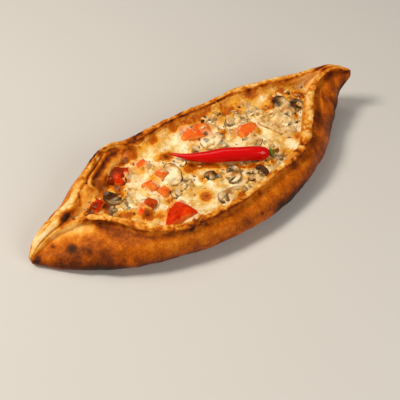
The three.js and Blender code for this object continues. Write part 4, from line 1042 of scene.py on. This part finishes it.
# Spots where the cheese browned, partly painted shade in the corner at the lower end: place in plan, stretch
# along the boat, radius, and how brown.
TOASTED_AND_SHADED = [
    (-21.5, 28.5, 1.4, 4.4, 1.1), (-29, 31, 1.3, 4.0, 0.3), (-23, -26, 1.0, 5.4, 1.1),
    (-81.5, -6, 1.1, 4.2, 1.0), (-16, 8, 1.3, 6.0, 0.38), (-72, -15, 1.0, 5.0, 1.5),
    (-64, -20, 1.0, 5.0, 0.6), (-57, -22, 1.0, 4.0, 0.4), (20, 44, 1.4, 6.0, 0.3), (80, 41, 1.6, 3.6, 0.6),
    (73, 43.5, 1.6, 3.0, 0.5), (102, 29.5, 1.4, 3.4, 0.4), (70, 38, 1.5, 8.0, 0.1), (96, 28, 1.0, 10.0, 0.3),
    (112, 20, 1.0, 9.0, 0.5), (-90, 24, 1.0, 6.0, 0.5), (78, -22, 1.0, 5.0, 0.5), (0, -14, 1.0, 6.0, 0.4),
    (-22, 45.5, 1.3, 2.6, 0.7), (60, -28, 1.0, 6.0, 0.5), (46, 38, 1.6, 6.0, 0.4), (81, 22, 1.0, 5.0, 0.5),
    (14, -30, 1.0, 4.0, 0.3), (-46, -14, 1.0, 4.0, 0.5), (32, 21, 1.0, 4.0, 0.5), (-62, 24, 1.0, 5.0, 0.35),
    (-12, -8, 1.0, 4.0, 0.65), (-17, 6, 1.2, 4.0, 0.5), (55, 37, 1.3, 6.0, 0.45), (-42, 45, 1.6, 5.0, 0.1),
    # The spots about (-85, 31), (-78, 33), (-73, 23), (-105, 14) and (-91, 12), in the corner at the lower
    # end, are partly browning and partly painted shade from the walls.
    (-52, 46, 1.4, 5.0, 0.4), (-85, 31, 1.0, 6.0, 1.1), (-78, 33, 1.0, 5.0, 1.1), (-73, 23, 1.0, 4.5, 1.2),
    (-105, 14, 1.2, 6.0, 1.4), (-91, 12, 1.0, 7.0, 1.5), (-76, 15, 1.0, 5.0, 0.5), (-88, -3, 1.0, 4.0, 0.5),
    (-45, 16, 1.0, 3.5, 0.4), (60, 6, 1.0, 3.5, 0.5), (102, 9, 1.0, 4.0, 0.6), (-1, -44, 1.4, 4.0, 0.4),
    (5, 0, 1.0, 4.0, 0.3), (10, 48.5, 1.6, 2.6, 0.6), (-53, 44, 1.4, 3.4, 0.9), (-43, 43, 1.3, 2.4, 0.7),
    (13, 44, 1.2, 3.0, 0.6), (-35, 46, 1.2, 2.4, 0.5), (-87, -4, 1.0, 3.0, 0.5), (-74, 26, 1.0, 3.0, 0.5),
    (-49, -13, 1.0, 3.0, 0.5), (-57.5, 44, 1.2, 2.4, 0.8), (116, 15.5, 1.0, 4.0, 1.0),
    (-104, 17, 1.0, 3.0, 0.5), (-39, -42, 1.2, 3.0, 0.6), (-9, 4, 1.0, 3.0, 0.6), (18, -14, 1.0, 3.0, 0.5),
    (93, 28, 1.0, 3.0, 0.5), (43, -30.5, 1.0, 3.0, 0.5), (-98, 10.5, 1.0, 2.6, -0.9), (-15, 1, 1.0, 3.0, 0.5),
    (-46, 27, 1.0, 3.0, 0.4), (2, 46, 2.0, 3.0, 0.3),
]
ragged = noise(flat, (0.6, 4, 207), (0.4, 1.9, 215))  # mm by which the edge of a spot wanders
toast_and_shade = noise(flat, (0.1, 9, 205), (0.07, 4, 206))
for spot_x, spot_y, stretch, radius, amount in TOASTED_AND_SHADED:
    toast_and_shade = toast_and_shade + amount * bell(np.hypot((x - spot_x) / stretch, y - spot_y) + ragged, 0, radius)
toast_and_shade = toast_and_shade + 0.55 * spots(flat[..., :2], [(*row[:2], *row[3:]) for row in DRIED])
# A streak of brown runs along the near side of the chilli: partly juice, partly painted shadow under the pod.
juice_and_shadow = along_path(flat[..., :2], [(-13, 9), (-2, 0), (5, -6), (13, -13), (26, -23), (33, -28)], 3.0)
toast_and_shade = toast_and_shade + 0.75 * juice_and_shadow * (0.9 + noise(flat, (0.6, 4, 217)))
# The thin edge of the cheese browned along both walls.
near_edge = smooth_step(0.9, 1.0, -across[None]) * 0.6
far_edge = smooth_step(0.74, 0.93, across[None]) * 0.8 * (1 - 0.45 * smooth_step(35, 65, x))
toast_and_shade = toast_and_shade + (near_edge + far_edge) * (0.75 + noise(flat, (0.7, 7, 208)))
pale_ends = np.zeros((CHEESE_ROWS, 2))
for name, values in [
    ("toast_and_shade", np.maximum(toast_and_shade, 0)),
    ("tomato_oil", tomato_stain * (0.5 + noise(flat, (0.5, 4, 209)))),
    ("film_on_tomato", film_on_tomato * (0.75 + noise(flat, (0.5, 2.6, 216)))),
    ("film_on_mushroom", film_on_mushroom),
    ("chunks", chunks),
    ("specks", specks),
]:
    set_attribute(cheese_mesh, name, np.concatenate([pale_ends, values], axis=1))
add_piece(cheese_mesh, "melted_cheese", "melted_cheese")

# Melted cheese: cream to yellow and slightly see-through, glossy with its own oil, browned in golden-edged
# spots. What lies just under it tints it: orange over tomato, buff and grey over mushroom.
melted, tree = new_material("melted_cheese")
coords = add_node(tree, "TexCoord").outputs["Object"]
clouds = add_node(tree, "TexNoise", {"Vector": coords, "Scale": 110.0, "Detail": 4.0, "Roughness": 0.55})
curds = add_node(tree, "TexNoise", {"Vector": coords, "Scale": 380.0, "Detail": 3.0, "Roughness": 0.6})
curdled = add_node(tree, "Math", {0: curds, 1: 0.4, 2: -0.2}, operation="MULTIPLY_ADD")
cloudy = add_node(tree, "Math", {0: clouds, 1: curdled}, operation="ADD")
layer = add_node(tree, "ValToRGB", {"Fac": cloudy}, [(0.37, "#dea850"), (0.49, "#f2d490"), (0.61, "#fcecc2")])
for name, colour, weight in [
    ("tomato_oil", "#ee9450", 0.5), ("film_on_tomato", "#e06a38", 0.85),
    ("film_on_mushroom", "#d6ac6c", 0.55), ("chunks", "#a87e46", 0.5), ("specks", "#4c2e16", 0.75),
]:
    share_here = add_node(tree, "Attribute", attribute_name=name)
    weighted = add_node(tree, "Math", {0: share_here, 1: weight}, operation="MULTIPLY", use_clamp=True)
    layer = add_node(tree, "Mix", {0: weighted, 6: layer, 7: linear(colour)}, data_type="RGBA")
# This number holds the browning, together with painted shadow along the chilli's near side and painted shade
# in the corner at the lower end.
toasted = add_node(tree, "Attribute", attribute_name="toast_and_shade")
uneven = add_node(tree, "MapRange", {
    "Value": curds, "From Min": 0.3, "From Max": 0.7, "To Min": -0.2, "To Max": 0.2,
})
brown_at = add_node(tree, "Math", {0: toasted, 1: uneven}, operation="ADD")
for start, stop, colour in [(0.1, 0.34, "#e8a030"), (0.42, 0.72, "#b85604"), (0.9, 1.3, "#6c2a04")]:
    brown_share = add_node(tree, "MapRange", {"Value": brown_at, "From Min": start, "From Max": stop})
    layer = add_node(tree, "Mix", {0: brown_share, 6: layer, 7: linear(colour)}, data_type="RGBA")
bump = add_node(tree, "Bump", {"Height": curds, "Strength": 0.6, "Distance": 0.0008})
oily = add_node(tree, "MapRange", {
    "Value": clouds, "From Min": 0.36, "From Max": 0.64, "To Min": 0.2, "To Max": 0.46,
})
shader = add_node(tree, "BsdfPrincipled", {
    "Base Color": layer, "Roughness": oily, "Normal": bump, "IOR": 1.44,
    "Specular IOR Level": 0.3, "Specular Tint": linear("#ffdca0"),
    "Subsurface Weight": 0.06, "Subsurface Radius": (1.0, 0.7, 0.4), "Subsurface Scale": 0.0015,
})
add_node(tree, "OutputMaterial", {"Surface": shader})
cheese_mesh.materials.append(melted)


# ---- Chopped filling, curds and pepper ----
# What lies loose on the cheese, half sunk in it: chopped mushroom, bits of tomato, curds that kept their
# shape, browned crumbs, cracked black pepper and dried herb, all strewn by hand before baking.
def surface_at(places):
    """Height of the finished cheese under each place, from the nearest point of its grid."""
    row = np.round(np.interp(places[:, 0], cheese_x, np.arange(CHEESE_ROWS))).astype(int)
    share_across = np.clip((places[:, 1] - middle[row]) / half[row], -1, 1)
    column = np.round((1 - share_across) / 2 * (CHEESE_COLUMNS - 1)).astype(int)
    return z[row, column]


def scattered(count, seed, smallest, largest, share_at):
    """Random places short of the cheese's ends, each kept with share_at as its chance; few are large."""
    rng = np.random.default_rng(seed)
    place_x = rng.uniform(CHEESE_ENDS[0] + 8, CHEESE_ENDS[1] - 12, count)
    _, _, gap, mid = rims_at(place_x)
    place_y = mid + rng.uniform(-0.47, 0.47, count) * gap
    size = smallest + (largest - smallest) * rng.random(count) ** 2
    kept = rng.random(count) < share_at(place_x, place_y)
    return rng, np.stack([place_x, place_y], -1)[kept], size[kept]


GOLDEN = (1 + 5**0.5) / 2
CRUMB_CORNERS = np.array([
    np.roll((0, a, b * GOLDEN), turn) for turn in range(3) for a in (1, -1) for b in (1, -1)
]) / np.hypot(1, GOLDEN)


def crumb_faces():
    """The twenty faces of an icosahedron: the corner triples at equal distance, turned to face outwards."""
    reach = np.linalg.norm(CRUMB_CORNERS[:, None] - CRUMB_CORNERS[None], axis=-1)
    beside = np.isclose(reach, reach[reach > 0].min())
    triples = [
        (i, j, k) for i in range(12) for j in range(i) for k in range(j)
        if beside[i, j] and beside[j, k] and beside[i, k]
    ]
    outward = [np.linalg.det(CRUMB_CORNERS[list(triple)]) > 0 for triple in triples]
    return np.array([triple if out else triple[::-1] for triple, out in zip(triples, outward)])


def add_crumbs(name, count, seed, sizes, shape, colours, slot_name, roughness, share_at):
    """Joined mesh of uneven twelve-cornered crumbs in one colour range, each tinted by a random tone."""
    rng, places, size = scattered(count, seed, *sizes, share_at)
    length, height, rough = shape
    total = len(places)
    uneven = rng.uniform(1 - rough, 1 + rough, (total, 12, 1))
    stretch = np.stack([rng.uniform(1, length, total), np.ones(total), np.full(total, height)], -1)
    corners = CRUMB_CORNERS[None] * uneven * (size / 2)[:, None, None] * stretch[:, None]
    # They lean and are turned at random, and lie half sunk in the cheese.
    lean = rng.normal(0, 0.3, total)[:, None]
    corners[..., 2] += lean * corners[..., 0]
    turn = rng.uniform(0, 2 * np.pi, total)[:, None]
    px = corners[..., 0] * np.cos(turn) - corners[..., 1] * np.sin(turn)
    py = corners[..., 0] * np.sin(turn) + corners[..., 1] * np.cos(turn)
    corners = np.stack([px, py, corners[..., 2]], -1)
    corners = corners + np.stack([places[:, 0], places[:, 1], surface_at(places) + 0.05 * size], -1)[:, None]
    faces = (crumb_faces()[None] + 12 * np.arange(total)[:, None, None]).reshape(-1, 3)
    mesh = bpy.data.meshes.new(name)
    mesh.from_pydata((corners.reshape(-1, 3) * MM).tolist(), [], faces.tolist())
    mesh.polygons.foreach_set("use_smooth", np.ones(len(mesh.polygons), dtype=bool))
    tone = np.repeat(rng.random(total), 12).astype(np.float32)
    mesh.attributes.new("tone", "FLOAT", "POINT").data.foreach_set("value", tone)
    material, tree = new_material(name)
    coords = add_node(tree, "TexCoord").outputs["Object"]
    mottle = add_node(tree, "TexNoise", {"Vector": coords, "Scale": 500.0, "Detail": 2.0})
    own_tone = add_node(tree, "Attribute", attribute_name="tone")
    mixed_tone = add_node(tree, "Math", {0: mottle, 1: 0.7, 2: own_tone}, operation="MULTIPLY_ADD")
    tint_places = np.linspace(0.3, 13 / 14, len(colours))
    tint = add_node(tree, "ValToRGB", {"Fac": mixed_tone}, list(zip(tint_places, colours)))
    shader = add_node(tree, "BsdfPrincipled", {"Base Color": tint, "Roughness": roughness})
    add_node(tree, "OutputMaterial", {"Surface": shader})
    mesh.materials.append(material)
    piece = bpy.data.objects.new(name, mesh)
    bpy.context.scene.collection.objects.link(piece)
    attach(piece, "root")


def by_tomato(x, y):
    """Chance that falls off within 5 mm of the nearest tomato piece."""
    reach = np.min([gap_to(piece, x, y)[0] for piece in laid_pieces if piece[0] == "tomato"], axis=0)
    return 0.6 * bell(np.maximum(reach, 0), 0, 5)


def anywhere(x, y):
    """More where the chopped mushroom lies, and some everywhere."""
    return 0.3 + 0.7 * chopped_share(x, y)


# Dull brown and grey pieces that kept their edges; glossy orange-red pulp; matt cream curds; dark roasted
# crumbs; black angular pepper; and flat olive-brown leaf. Each has the number thrown, the seed, its smallest
# and largest size, its shape as greatest length, height and unevenness, its colours, slot, roughness and
# chance to lie there.
for crumbs in [
    ("mushroom_bits", 240, 303, (1.2, 3.6), (2.2, 0.5, 0.35), ("#2b1d14", "#6b4a28", "#a87c42", "#d9b06a"),
     "mushroom", 0.45, chopped_share),
    ("tomato_bits", 110, 306, (1.0, 3.6), (1.8, 0.5, 0.3), ("#a01402", "#cf4a10", "#e07a2c"),
     "tomato", 0.3, by_tomato),
    ("cheese_curds", 34, 305, (1.2, 3.4), (1.8, 0.55, 0.25), ("#e8b95a", "#f8dc94", "#fdeab8"),
     "melted_cheese", 0.35, anywhere),
    ("browned_crumbs", 170, 304, (0.7, 2.4), (1.5, 0.6, 0.3), ("#4a1e08", "#8a4410", "#b8701e"),
     "melted_cheese", 0.45, anywhere),
    ("cracked_pepper", 420, 301, (0.4, 1.1), (1.3, 0.8, 0.4), ("#120d0a", "#33231a"),
     "mushroom", 0.6, anywhere),
    ("dried_herb", 150, 302, (0.5, 1.5), (2.2, 0.35, 0.3), ("#3d2e14", "#6c5424"),
     "mushroom", 0.6, anywhere),
]:
    add_crumbs(*crumbs)
